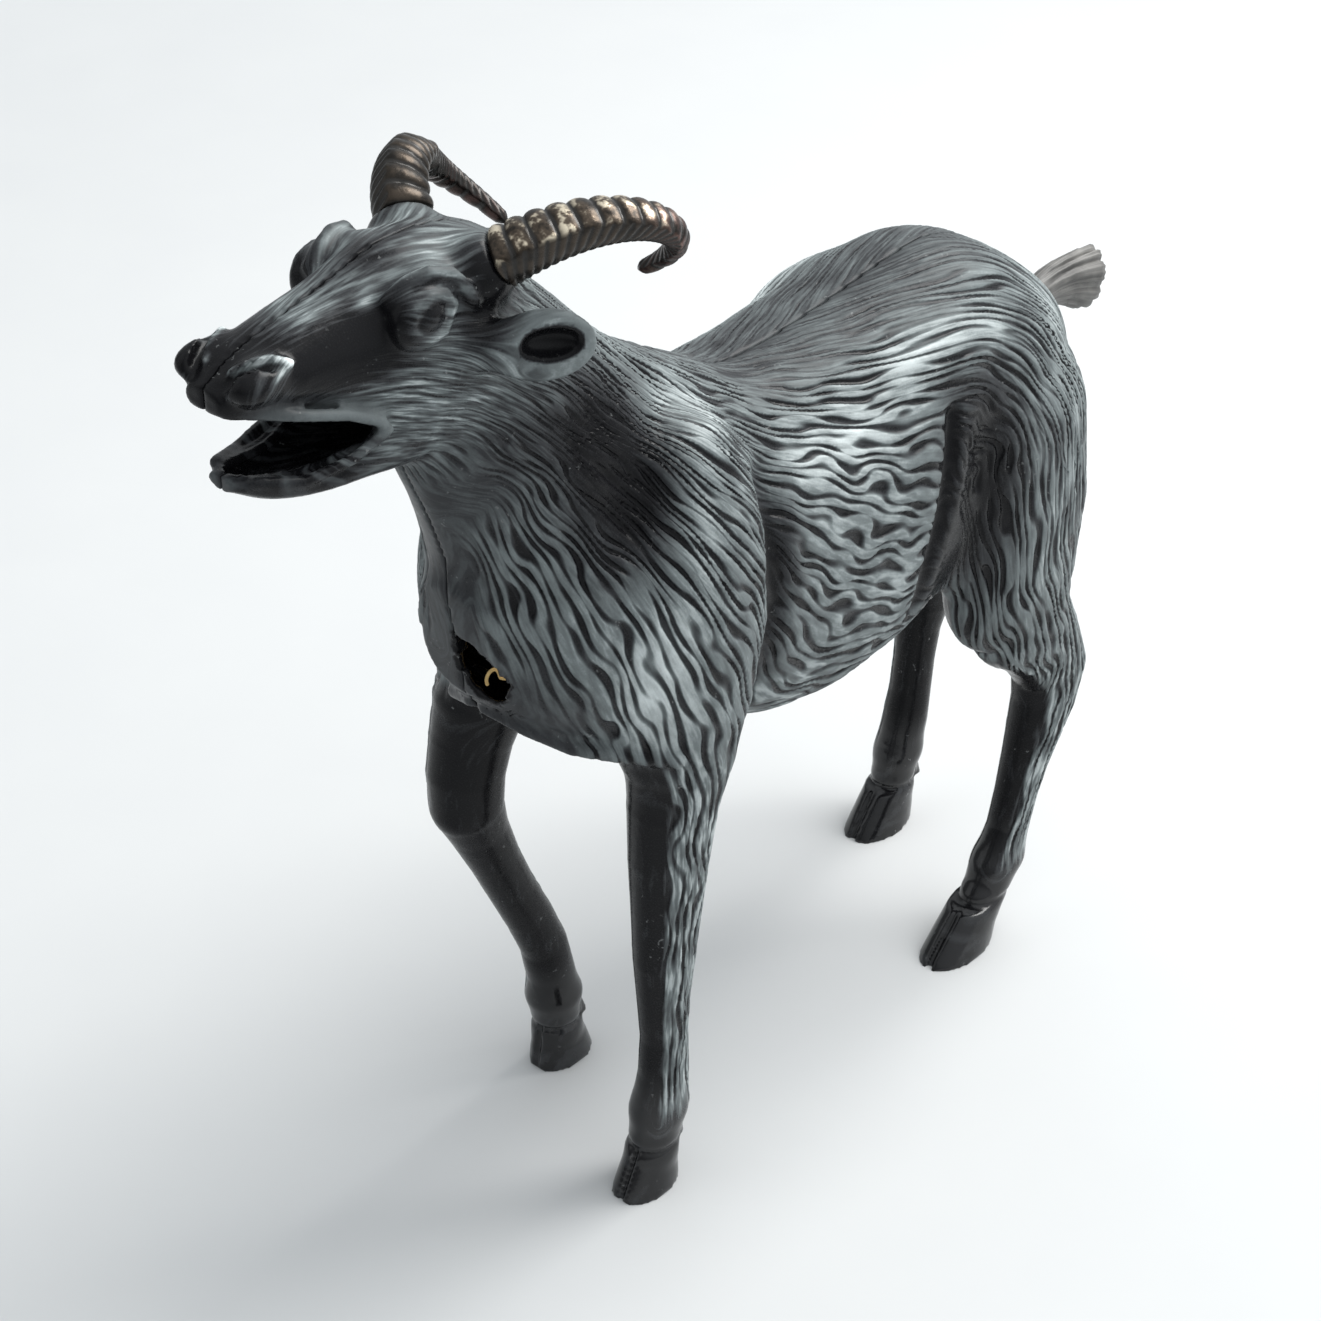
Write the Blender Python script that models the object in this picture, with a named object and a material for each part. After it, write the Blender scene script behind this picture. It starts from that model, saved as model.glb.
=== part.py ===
"""Hollow moulded plastic goat with separate horns and a sprung pull tail.

Lengths in this file are millimetres, turned into metres where a mesh is made.
+Z is up, the nose points along -Y, the goat's left is +X, the soles stand on Z = 0
and the moulding seam is the plane X = 0. The drawing's Y counts from behind the forelegs,
and metres() moves the middle of the goat's length to Y = 0.
"""

import math

import bmesh
import bpy
import numpy as np
from mathutils import Matrix, Vector

MM = 0.001
MIDDLE_Y = 1.65  # half way between the nose and the tail's end
GAP = 0.3  # clearance between neighbouring pieces
SEAM = 0.15  # each shell stops this far from the seam plane
WALL = 1.8
OUTER_STEP = 1.4  # grid step of the outer skin
INNER_STEP = 1.7
OUTER_TRIANGLES = 8000
INNER_TRIANGLES = 2600

# The pull line runs from the chest opening to the tail, rising a little to the rear.
PULL_FRONT = (-50.8, 106.0)
PULL_REAR = (84.0, 116.3)
PULL_ANGLE = math.atan2(PULL_REAR[1] - PULL_FRONT[1], PULL_REAR[0] - PULL_FRONT[0])
PULL_TRAVEL = 6.0  # until the bend behind the rod's eye meets the front web

ROD_R = 0.6
EYE_R = 1.7  # to the centre of the wire
EYE_AT = 27.3  # along the pull line
ROD_START = EYE_AT + EYE_R + 2.2  # where the rod runs straight
ROD_END = 128.0
SPRING_R = 2.5  # to the centre of the wire
WIRE_R = 0.27
COIL_START = 2.2  # along the pull line
COIL_END = 23.4
SPRING_TURNS = 10
ANCHOR_R = 0.7
ANCHOR = (0.69, -1.46)  # along and above the pull line
ANCHOR_ENDS = (-12.0, 1.6)
TAIL_NECK = (2.6, 3.0)  # half width and half height of the tail's neck

TRUNK_POWER = 2.4  # the back is flatter than an ellipse
# Stations of the trunk: y, top, bottom, half width.
TRUNK = (
    (-55.5, 119, 107, 5.5),
    (-52.0, 126, 99.5, 12.5),
    (-46.0, 131, 93.5, 17.5),
    (-38.0, 134, 90.0, 20.5),
    (-27.0, 137, 87.0, 22.0),
    (-14.0, 138.0, 81.5, 22.4),
    (0.0, 137.0, 74.5, 21.8),
    (14.0, 136.8, 71.5, 22.2),
    (28.0, 138.0, 73.0, 22.6),
    (42.0, 139.8, 76.5, 21.5),
    (52.0, 140.3, 80.0, 20.0),
    (60.0, 137.8, 82.0, 19.0),
    (68.0, 132.8, 84.0, 17.5),
    (76.0, 126.6, 88.0, 14.5),
    (82.0, 121.5, 95.0, 10.0),
    (84.5, 117.0, 103.0, 5.0),
)
# Stations of the neck across its own axis: along, centre, half depth, half width.
NECK_ORIGIN = (-22.0, 112.0)
NECK_PITCH = math.radians(121.0)
NECK = (
    (-14.0, 0.0, 20.0, 15.0),
    (0.0, 0.0, 26.0, 18.6),
    (11.0, 0.0, 27.6, 19.2),
    (18.0, 0.0, 27.0, 18.4),
    (26.0, 0.9, 24.3, 16.6),
    (35.0, 1.8, 20.3, 14.0),
    (44.0, 2.3, 18.0, 12.0),
    (54.0, 2.8, 16.4, 10.8),
    (62.0, 2.5, 14.0, 9.8),
    (70.0, 1.0, 9.0, 7.0),
)
# Stations of the head above the mouth: y, top, bottom, half width.
SKULL = (
    (-46.0, 176.0, 166.0, 4.0),
    (-50.0, 179.5, 160.0, 8.0),
    (-56.0, 182.2, 155.0, 10.6),
    (-62.0, 183.2, 152.0, 11.4),
    (-68.0, 183.3, 151.0, 10.8),
    (-73.0, 182.3, 153.5, 9.4),
    (-78.0, 180.8, 159.5, 8.4),
    (-83.0, 179.8, 164.5, 7.7),
    (-88.0, 178.6, 167.4, 7.2),
    (-93.0, 177.4, 169.4, 6.6),
    (-96.8, 175.8, 170.2, 5.2),
    (-99.2, 173.6, 170.8, 2.6),
)
# Stations of the lower jaw: y, top, bottom, half width.
JAW = (
    (-64.0, 166.0, 150.4, 8.0),
    (-70.0, 165.0, 151.0, 9.2),
    (-76.0, 163.4, 152.2, 8.8),
    (-81.0, 161.0, 153.2, 8.2),
    (-85.0, 159.6, 153.8, 7.4),
    (-89.0, 159.8, 154.6, 6.6),
    (-93.0, 160.6, 155.6, 5.4),
    (-96.0, 161.0, 157.4, 3.6),
    (-97.6, 160.6, 159.0, 1.6),
)

# Stations of the hollow between the jaws: y, top, bottom, half width.
MOUTH = (
    (-96.0, 171.6, 159.6, 1.6),
    (-94.5, 171.8, 158.8, 3.4),
    (-90.0, 170.8, 157.8, 4.8),
    (-86.0, 169.4, 157.2, 5.6),
    (-82.0, 167.4, 157.0, 6.2),
    (-78.0, 166.4, 157.4, 6.6),
    (-74.0, 165.4, 157.8, 6.6),
)

# Stations down each leg: x, y, z, half depth, half width.
LEFT_FORE = (
    (13.5, -22, 118, 13, 8),
    (14.5, -23, 106, 13, 9),
    (15.2, -24, 96, 11.5, 9),
    (15.8, -25.5, 86, 9.6, 8),
    (15.8, -27.2, 77, 7.8, 6.9),
    (15.8, -28.2, 67, 6.9, 6.2),
    (15.8, -28.8, 56, 5.9, 5.5),
    (15.8, -29.3, 47, 5.3, 4.9),
    (15.8, -29.5, 37.5, 4.4, 4.2),
    (15.8, -29.3, 30, 4.0, 3.9),
    (15.8, -29.5, 22, 4.3, 4.1),
    (15.8, -30.2, 17, 4.8, 4.4),
    (15.8, -31.4, 11, 4.5, 4.2),
    (15.8, -32.2, 7, 4.6, 4.3),
)
RIGHT_FORE = (
    (-13.5, -26, 118, 13, 8),
    (-14.5, -28, 106, 12.5, 9),
    (-15.5, -32, 96, 10.5, 9),
    (-17.0, -36, 86, 8.2, 7.4),
    (-17.5, -38.2, 79, 7.0, 6.6),
    (-17.5, -39.7, 73, 6.6, 6.2),
    (-17.5, -39.9, 67, 6.3, 5.9),
    (-17.5, -37.4, 60, 5.1, 4.8),
    (-17.5, -34.1, 52, 4.4, 4.3),
    (-17.5, -30.6, 44, 4.2, 4.0),
    (-17.5, -26.6, 35.5, 4.2, 4.0),
    (-17.5, -23.2, 27.3, 4.2, 4.1),
    (-17.5, -21.6, 20, 4.4, 4.1),
    (-17.5, -21.0, 15, 4.8, 4.4),
    (-17.5, -20.6, 10, 4.5, 4.2),
    (-17.5, -20.4, 7, 4.6, 4.3),
)
LEFT_HIND = (
    (12.5, 58, 114, 15, 8.5),
    (14.5, 59, 104, 18.5, 9.5),
    (16.0, 59.5, 90, 18.0, 9.2),
    (16.8, 59.4, 79, 15.4, 8.6),
    (17.2, 62.4, 69, 10.8, 7.8),
    (17.3, 68.5, 61, 8.4, 7.0),
    (17.3, 73.2, 53, 7.2, 6.4),
    (17.3, 72.6, 46, 6.2, 5.7),
    (17.3, 70.4, 40, 5.3, 5.0),
    (17.3, 68.2, 34, 4.5, 4.3),
    (17.3, 66.2, 27.3, 4.0, 3.9),
    (17.3, 64.3, 20.5, 4.0, 3.8),
    (17.3, 62.2, 15, 4.6, 4.2),
    (17.3, 58.8, 9.5, 4.4, 4.1),
    (17.3, 56.5, 7, 4.5, 4.2),
)
RIGHT_HIND = (
    (-12.5, 58, 114, 15, 8.5),
    (-14.5, 60, 104, 18.5, 9.5),
    (-16.0, 62, 90, 18, 9.2),
    (-16.8, 64, 79, 15.0, 8.6),
    (-17.2, 69, 69, 11.0, 7.6),
    (-17.3, 76.5, 61, 8.2, 6.8),
    (-17.3, 81.8, 54, 6.9, 6.0),
    (-17.3, 81.6, 48, 5.6, 5.2),
    (-17.3, 80.6, 42, 4.4, 4.2),
    (-17.3, 79.8, 35, 4.0, 3.9),
    (-17.3, 79.1, 28, 4.1, 3.9),
    (-17.3, 78.0, 22, 4.5, 4.2),
    (-17.3, 76.6, 17, 4.6, 4.2),
    (-17.3, 75.4, 12, 4.4, 4.1),
    (-17.3, 74.4, 8, 4.5, 4.2),
)
EAR_STALK = ((8.5, -62.5, 169.5, 3.6, 2.6), (13.6, -58.4, 168.4, 3.0, 2.0))
LEGS = (LEFT_FORE, RIGHT_FORE, LEFT_HIND, RIGHT_HIND)
# Hooves: x, y of the sole's centre, its half depth and half width, and how far the top leans back.
HOOVES = (
    (15.8, -34.0, 6.6, 4.7, 1.8),
    (-17.5, -19.6, 6.4, 4.7, -0.9),
    (17.3, 50.4, 8.8, 5.2, 5.0),
    (-17.3, 70.6, 8.2, 5.2, 3.4),
)
HOOF_HEIGHT = 8.5

# Horn centre lines as control points; the right one sits a little lower at the back.
LEFT_HORN = (
    (9.6, -54.5, 178.9),
    (16.0, -49.9, 184.0),
    (19.7, -38.9, 185.4),
    (24.6, -33.8, 181.4),
    (23.8, -30.4, 176.4),
    (12.8, -31.3, 169.6),
)
RIGHT_HORN = (
    (-9.6, -54.4, 179.0),
    (-17.5, -49.8, 186.4),
    (-18.3, -39.9, 181.6),
    (-24.9, -38.0, 175.5),
    (-24.3, -32.3, 174.4),
    (-12.4, -31.6, 168.6),
)
HORN_BASE_R = 4.4
HORN_TIP_R = 1.1
HORN_RIBS = 15
HORN_PEG_R = 1.6
HORN_PEG_LENGTH = 3.0

# Spring hooks: along and above the pull line in front, and along, beside and above it behind.
FRONT_HOOK = (
    (-0.50, -2.15),
    (-0.72, -1.40),
    (-0.45, -0.65),
    (0.20, -0.13),
    (1.05, -0.10),
    (1.80, -0.70),
    (2.10, -1.70),
)
REAR_HOOK = (
    (24.2, 1.7, -1.6),
    (25.2, 1.7, -0.5),
    (26.4, 1.25, 0.0),
    (27.3, 0.5, 0.0),
    (27.4, -0.3, 0.0),
    (26.9, -1.2, 0.0),
    (26.0, -1.6, 0.0),
)

# Webs inside the trunk that carry the rod: distance along the pull line.
WEB_THICKNESS = 2.0
WEB_HALF_HEIGHT = 8.0
WEBS = (ROD_START + PULL_TRAVEL + GAP + WEB_THICKNESS / 2, 100.0)


# ---------------------------------------------------------------- fields

def grid(low, high, step):
    """The x, y and z of a box of sample points."""
    axes = [np.arange(a, b + step, step, dtype=np.float32) for a, b in zip(low, high)]
    return np.meshgrid(*axes, indexing="ij")


def smooth_table(knots, values, soften):
    """Values between the knots, rounded off over a length of soften."""
    knots = np.asarray(knots, float)
    fine = np.arange(knots[0], knots[-1] + 0.25, 0.5)
    line = np.interp(fine, knots, values)
    reach = max(1, int(3 * soften / 0.5))
    weight = np.exp(-0.5 * (np.arange(-reach, reach + 1) * 0.5 / soften) ** 2)
    padded = np.pad(line, reach, mode="edge")
    return fine, np.convolve(padded, weight / weight.sum(), mode="valid")


def section_distance(across, side, half_depth, half_width, power=2.0):
    """Signed distance, roughly, from an ellipse, or from a squarer oval when power is over 2."""
    u = np.abs(across / half_depth) + 1e-6
    v = np.abs(side / half_width) + 1e-6
    k = (u ** power + v ** power) ** (1 / power)
    slope = np.sqrt(
        ((u / k) ** (power - 1) / half_depth) ** 2 + ((v / k) ** (power - 1) / half_width) ** 2
    )
    return (k - 1) / slope


def loft(points, origin, pitch, stations, inset=0.0, power=2.0, soften=2.5):
    """A body of elliptical sections along a straight axis in the seam plane."""
    x, y, z = points
    c, s = math.cos(pitch), math.sin(pitch)
    along = (y - origin[0]) * c + (z - origin[1]) * s
    across = (z - origin[1]) * c - (y - origin[0]) * s
    knots = [row[0] for row in stations]
    centre, depth, width = (
        np.interp(along, *smooth_table(knots, [row[i] for row in stations], soften))
        for i in (1, 2, 3)
    )
    depth = np.maximum(depth - inset, 0.3)
    width = np.maximum(width - inset, 0.3)
    t = across - centre
    d = section_distance(t, x, depth, width, power)
    return np.maximum(d, np.maximum(knots[0] + inset - along, along - knots[-1] + inset))


def top_bottom(stations):
    """Turns rows of top and bottom into rows of centre and half depth."""
    rows = [(s, (top + low) / 2, (top - low) / 2, width) for s, top, low, width in stations]
    return sorted(rows)


def tube(points, stations, inset=0.0):
    """A limb through stations of x, y, z, half depth and half width."""
    x, y, z = points
    rows = np.asarray(stations, float)
    out = np.full(x.shape, 1e3, np.float32)
    for a, b in zip(rows[:-1], rows[1:]):
        axis = b[:3] - a[:3]
        reach = max(a[3], b[3]) + 8
        near = (
            (x > min(a[0], b[0]) - reach) & (x < max(a[0], b[0]) + reach)
            & (y > min(a[1], b[1]) - reach) & (y < max(a[1], b[1]) + reach)
            & (z > min(a[2], b[2]) - reach) & (z < max(a[2], b[2]) + reach)
        )
        px, py, pz = x[near] - a[0], y[near] - a[1], z[near] - a[2]
        t = np.clip((px * axis[0] + py * axis[1] + pz * axis[2]) / (axis @ axis), 0, 1)
        depth = a[3] + (b[3] - a[3]) * t - inset
        width = a[4] + (b[4] - a[4]) * t - inset
        rx, ry, rz = px - t * axis[0], py - t * axis[1], pz - t * axis[2]
        d = section_distance(np.sqrt(ry ** 2 + rz ** 2), rx, depth, width)
        out[near] = np.minimum(out[near], d)
    return out


def ellipsoid(points, centre, radii, pitch=0.0, yaw=0.0):
    """pitch turns the ellipsoid about X, then yaw about Z, in degrees."""
    x, y, z = (p - c for p, c in zip(points, centre))
    c, s = math.cos(math.radians(yaw)), math.sin(math.radians(yaw))
    x, y = x * c + y * s, y * c - x * s
    c, s = math.cos(math.radians(pitch)), math.sin(math.radians(pitch))
    y, z = y * c + z * s, z * c - y * s
    k0 = np.sqrt((x / radii[0]) ** 2 + (y / radii[1]) ** 2 + (z / radii[2]) ** 2) + 1e-6
    k1 = np.sqrt(
        (x / radii[0] ** 2) ** 2 + (y / radii[1] ** 2) ** 2 + (z / radii[2] ** 2) ** 2
    ) + 1e-6
    return k0 * (k0 - 1) / k1


def join(a, b, blend):
    """Union of two fields with a fillet of about the blend length."""
    h = np.clip(0.5 + 0.5 * (b - a) / blend, 0, 1)
    return b + (a - b) * h - blend * h * (1 - h)


def hoof(points, x0, y0, depth, width, lean):
    """A hoof that narrows upwards."""
    x, y, z = points
    rise = np.clip(z / HOOF_HEIGHT, 0, 1)
    shrink = 1 - 0.36 * rise ** 1.3
    d = section_distance(y - y0 - lean * rise, x - x0, depth * shrink, width * (1 - 0.2 * rise))
    return np.maximum(d, z - HOOF_HEIGHT)


def both_sides(points, make):
    """The union of a shape and its mirror image across the seam."""
    x, y, z = points
    return np.minimum(make((x, y, z)), make((-x, y, z)))


def head_field(points):
    """Skull, upper jaw, lower jaw, brows, cheeks and ears."""
    d = loft(points, (0, 0), 0.0, top_bottom(SKULL), soften=1.6)
    d = join(d, loft(points, (0, 0), 0.0, top_bottom(JAW), soften=1.6), 1.5)
    brow = both_sides(points, lambda p: ellipsoid(p, (8.6, -68.0, 178.6), (3.2, 5.6, 3.0), 10, 20))
    d = join(d, brow, 2.5)
    boss = both_sides(points, lambda p: ellipsoid(p, (6.6, -56.6, 176.8), (5.6, 5.6, 5.4)))
    d = join(d, boss, 2.0)
    eye = both_sides(points, lambda p: ellipsoid(p, (9.6, -70.5, 175.4), (2.6, 4.0, 3.2), 0, 20))
    d = join(d, eye, 1.2)
    nose = both_sides(points, lambda p: ellipsoid(p, (4.4, -93.2, 174.4), (3.0, 4.6, 2.6), 0, 12))
    d = join(d, nose, 1.6)
    stalk = both_sides(points, lambda p: tube(p, EAR_STALK))
    ear = both_sides(points, lambda p: ellipsoid(p, (16.6, -54.4, 168.3), (2.0, 7.0, 5.0), 0, -38))
    return join(d, join(ear, stalk, 2.5), 2.0)


def body_field(points):
    """The whole outer skin of the two shells."""
    d = loft(points, (0, 0), 0.0, top_bottom(TRUNK), power=TRUNK_POWER)
    neck = loft(points, NECK_ORIGIN, NECK_PITCH, NECK)
    d = join(d, neck, 9.0)
    d = join(d, head_field(points), 3.0)
    for leg in LEGS:
        d = join(d, tube(points, leg), 4.0)
    for sole in HOOVES:
        d = join(d, hoof(points, *sole), 1.0)
    shoulder = both_sides(
        points, lambda p: ellipsoid(p, (14.5, -26.0, 112.0), (10.5, 14.0, 27.0), -8, 0)
    )
    d = join(d, shoulder, 6.0)
    return np.maximum(d, -1.0 - points[2])


def cavity_field(points):
    """The hollow inside: trunk, neck and head, less the wall."""
    x, y, z = points
    d = loft(points, (0, 0), 0.0, top_bottom(TRUNK), inset=WALL + 0.6, power=TRUNK_POWER)
    d = join(d, loft(points, NECK_ORIGIN, NECK_PITCH, NECK, inset=WALL), 6.0)
    skull = loft(points, (0, 0), 0.0, top_bottom(SKULL), inset=WALL, soften=1.6)
    jaw = loft(points, (0, 0), 0.0, top_bottom(JAW), inset=WALL, soften=1.6)
    head = join(skull, jaw, 1.0)
    throat = loft(points, (0, 0), 0.0, top_bottom(MOUTH), power=3.0, soften=0.8)
    head = join(head, throat, 1.6)
    return join(d, head, 3.0)


# ---------------------------------------------------------------- meshes

def plain_faces(field):
    """The field with no checkerboard grid face, so that its surface never touches itself."""
    field = np.where(np.abs(field) < 0.02, -0.02, field).astype(np.float32)
    for _ in range(20):
        changed = 0
        for axis in range(3):
            first, second = [a for a in range(3) if a != axis]
            corners = []
            for da, db in ((0, 0), (0, 1), (1, 1), (1, 0)):
                cut = [slice(None)] * 3
                cut[first] = slice(da, field.shape[first] - 1 + da)
                cut[second] = slice(db, field.shape[second] - 1 + db)
                corners.append(field[tuple(cut)])
            a, b, c, d = (corner < 0 for corner in corners)
            mixed = (a == c) & (b == d) & (a != b)
            changed += int(mixed.sum())
            for corner, inside in zip(corners, (a, b, c, d)):
                corner[mixed & ~inside] = -0.02
        if not changed:
            break
    return field


def surface_nets(field, low, step):
    """Quads and corner points of the zero surface of a sampled field."""
    field = plain_faces(field)
    inside = field < 0
    cells = tuple(n - 1 for n in field.shape)
    total = np.zeros(cells + (3,), np.float32)
    count = np.zeros(cells, np.int32)
    quads = []
    for axis in range(3):
        others = [a for a in range(3) if a != axis]
        first = [slice(None)] * 3
        second = [slice(None)] * 3
        first[axis] = slice(0, -1)
        second[axis] = slice(1, None)
        fa, fb = field[tuple(first)], field[tuple(second)]
        crossing = inside[tuple(first)] != inside[tuple(second)]
        at = np.argwhere(crossing)
        share = fa[crossing] / (fa[crossing] - fb[crossing])
        spot = at.astype(np.float32)
        spot[:, axis] += share
        flip = inside[tuple(first)][crossing]
        ring = []
        for da, db in ((0, 0), (1, 0), (1, 1), (0, 1)):
            cell = at.copy()
            cell[:, others[0]] -= da
            cell[:, others[1]] -= db
            ring.append(cell)
            ok = ((cell >= 0) & (cell < np.array(cells))).all(1)
            place = tuple(cell[ok].T)
            np.add.at(total, place, spot[ok])
            np.add.at(count, place, 1)
        inner = np.all([(c >= 0).all(1) & (c < np.array(cells)).all(1) for c in ring], axis=0)
        code = [np.ravel_multi_index(tuple(c[inner].T), cells) for c in ring]
        turn = flip[inner] ^ (axis == 1)
        face = np.stack(code, 1)
        face[turn] = face[turn][:, ::-1]
        quads.append(face)
    quads = np.concatenate(quads)
    used, index = np.unique(quads, return_inverse=True)
    flat = total.reshape(-1, 3)[used] / count.reshape(-1)[used][:, None]
    return flat * step + np.asarray(low, np.float32), index.reshape(-1, 4)


def metres(points):
    """Drawing points in millimetres as points of the scene in metres."""
    return (np.asarray(points, float) - (0.0, MIDDLE_Y, 0.0)) * MM


def mesh_object(name, verts, faces):
    """An object from points in millimetres and faces of any size."""
    mesh = bpy.data.meshes.new(name)
    faces = [tuple(int(i) for i in face) for face in faces]
    mesh.from_pydata(metres(verts).tolist(), [], faces)
    mesh.validate()
    mesh.update()
    obj = bpy.data.objects.new(name, mesh)
    bpy.context.scene.collection.objects.link(obj)
    return obj


def set_origin(obj, point):
    """Moves the object's origin to a point in millimetres and leaves its mesh where it is."""
    spot = Vector(metres(point))
    obj.data.transform(Matrix.Translation(-spot))
    obj.location = spot


def field_object(name, field, low, high, step, triangles):
    """A decimated closed mesh of a field."""
    verts, faces = surface_nets(field(grid(low, high, step)), low, step)
    obj = mesh_object(name, verts, faces)
    settle(obj)
    modifier = obj.modifiers.new("Decimate", "DECIMATE")
    modifier.ratio = triangles / (2 * len(obj.data.polygons))
    apply_modifiers(obj)
    return obj


def apply_modifiers(obj):
    """Makes the evaluated mesh the object's own."""
    graph = bpy.context.evaluated_depsgraph_get()
    mesh = bpy.data.meshes.new_from_object(obj.evaluated_get(graph))
    obj.modifiers.clear()
    obj.data = mesh
    return obj


def settle(obj):
    """Outward normals."""
    mesh = bmesh.new()
    mesh.from_mesh(obj.data)
    bmesh.ops.recalc_face_normals(mesh, faces=mesh.faces)
    mesh.to_mesh(obj.data)
    mesh.free()


def boolean(obj, other, operation):
    """One exact Boolean, after which the other object is dropped."""
    modifier = obj.modifiers.new("Boolean", "BOOLEAN")
    modifier.operation = operation
    modifier.solver = "EXACT"
    modifier.object = other
    apply_modifiers(obj)
    bpy.data.objects.remove(other, do_unlink=True)
    return obj


def copy_of(obj, name):
    new = bpy.data.objects.new(name, obj.data.copy())
    bpy.context.scene.collection.objects.link(new)
    return new


def box(name, low, high):
    """A block between two corners."""
    corners = [(x, y, z) for x in (low[0], high[0]) for y in (low[1], high[1]) for z in (low[2], high[2])]
    faces = [(0, 1, 3, 2), (4, 6, 7, 5), (0, 4, 5, 1), (2, 3, 7, 6), (0, 2, 6, 4), (1, 5, 7, 3)]
    return mesh_object(name, corners, faces)


def swept(name, path, rings, sides=16):
    """A closed tube round a path of points; each ring is (radius across, radius up)."""
    path = [Vector(p) for p in path]
    verts, faces = [], []
    side = None
    for i, point in enumerate(path):
        ahead = path[min(i + 1, len(path) - 1)] - path[max(i - 1, 0)]
        ahead.normalize()
        if side is None:
            side = Vector((1, 0, 0)) - ahead * ahead.x
            if side.length < 0.1:
                side = Vector((0, 0, 1)) - ahead * ahead.z
        side = (side - ahead * ahead.dot(side)).normalized()
        up = ahead.cross(side)
        wide, tall = rings[i]
        for k in range(sides):
            a = 2 * math.pi * k / sides
            verts.append(point + side * (math.cos(a) * wide) + up * (math.sin(a) * tall))
    for i in range(len(path) - 1):
        for k in range(sides):
            j = (k + 1) % sides
            faces.append((i * sides + k, i * sides + j, (i + 1) * sides + j, (i + 1) * sides + k))
    faces.append(tuple(range(sides))[::-1])
    last = (len(path) - 1) * sides
    faces.append(tuple(range(last, last + sides)))
    obj = mesh_object(name, verts, faces)
    settle(obj)
    return obj


def pull_point(along, x=0.0, up=0.0):
    """A point given along the pull line from its front end, and beside it."""
    c, s = math.cos(PULL_ANGLE), math.sin(PULL_ANGLE)
    return (x, PULL_FRONT[0] + along * c - up * s, PULL_FRONT[1] + along * s + up * c)


def straight(name, start, end, radius, sides=20):
    """A round bar along the pull line."""
    return swept(name, [pull_point(start), pull_point(end)], [(radius, radius)] * 2, sides)


# ---------------------------------------------------------------- pieces

def bezier(control, count):
    """Points along a Bezier curve."""
    n = len(control) - 1
    points = []
    for step in range(count):
        t = step / (count - 1)
        weights = [math.comb(n, i) * t ** i * (1 - t) ** (n - i) for i in range(n + 1)]
        points.append(tuple(sum(w * c[a] for w, c in zip(weights, control)) for a in range(3)))
    return points


def horn_radius(t):
    """Radius along a horn, without its ribs."""
    return HORN_BASE_R + (HORN_TIP_R - HORN_BASE_R) * t ** 1.1


def make_horn(name, control):
    """A curled horn with rounded ribs, and a peg that enters the skull."""
    rings_per_rib = 3
    count = HORN_RIBS * rings_per_rib + 1
    path = bezier(control, count)
    rings = []
    for i in range(count):
        r = horn_radius(i / (count - 1))
        bulge = 1.0 if i % rings_per_rib else 0.9
        rings.append((r * bulge, r * bulge * 0.86))
    down = (Vector(path[0]) - Vector(path[1])).normalized()
    peg = [Vector(path[0]) + down * d for d in (HORN_PEG_LENGTH, 0.02)]
    peg_rings = [(HORN_PEG_R, HORN_PEG_R)] * 2
    return swept(name, peg + path, peg_rings + rings, sides=10)


def horn_socket(name, control):
    """The cutter that clears a horn's base and peg from a shell."""
    path = [Vector(p) for p in bezier(control, 40)[:15]]
    down = (path[0] - path[1]).normalized()
    reach = HORN_BASE_R + GAP
    hole = HORN_PEG_R + GAP
    peg = [path[0] + down * (HORN_PEG_LENGTH + 4.0), path[0] + down * (GAP + 0.02)]
    base = [path[0] + down * GAP] + path[1:]
    return swept(name, peg + base, [(hole, hole)] * 2 + [(reach, reach)] * len(base), sides=20)


def chest_slot():
    """Lens-shaped cutter for the opening in the chest seam, most of it in the left shell."""
    top, bottom = Vector((0.6, -58.5, 114.2)), Vector((1.8, -46.8, 98.0))
    axis = bottom - top
    path = [top + axis * t for t in (0.0, 0.12, 0.3, 0.5, 0.7, 0.88, 1.0)]
    half = (0.2, 1.0, 2.1, 3.0, 3.1, 1.8, 0.3)
    return swept("chest_slot_cutter", path, [(w, 5.0) for w in half], sides=12)


def tail_path():
    """Tail centre line from inside the rump to the fan's end."""
    return [
        pull_point(118.0),
        pull_point(126.0),
        pull_point(133.5),
        pull_point(137.0),
        (0, 87.0, 116.6),
        (0, 91.0, 115.9),
        (0, 95.5, 115.0),
        (0, 99.0, 114.2),
        (0, 101.2, 113.7),
    ]


def make_tail():
    """A neck that slides in the rump and a fan that stands out behind it."""
    w, h = TAIL_NECK
    rings = [(w, h), (w, h), (w, h), (w, h), (3.0, 3.8), (3.4, 4.5), (3.8, 5.3), (4.0, 5.9), (3.6, 5.6)]
    tail = swept("tail", tail_path(), rings, sides=18)
    return boolean(tail, straight("rod_bore", 110.0, ROD_END + GAP, ROD_R + GAP), "DIFFERENCE")


def make_spring():
    """An extension spring with a hook at each end."""
    per_turn = 12
    count = SPRING_TURNS * per_turn
    coil = []
    for i in range(count + 1):
        a = 2 * math.pi * i / per_turn
        along = COIL_START + (COIL_END - COIL_START) * i / count
        coil.append(pull_point(along, SPRING_R * math.sin(a), -SPRING_R * math.cos(a)))
    front = [pull_point(along, 0.0, up) for along, up in FRONT_HOOK]
    rear = [pull_point(along, x, up) for along, x, up in REAR_HOOK]
    path = front + coil + rear
    return swept("return_spring", path, [(WIRE_R, WIRE_R)] * len(path), sides=6)


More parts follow.
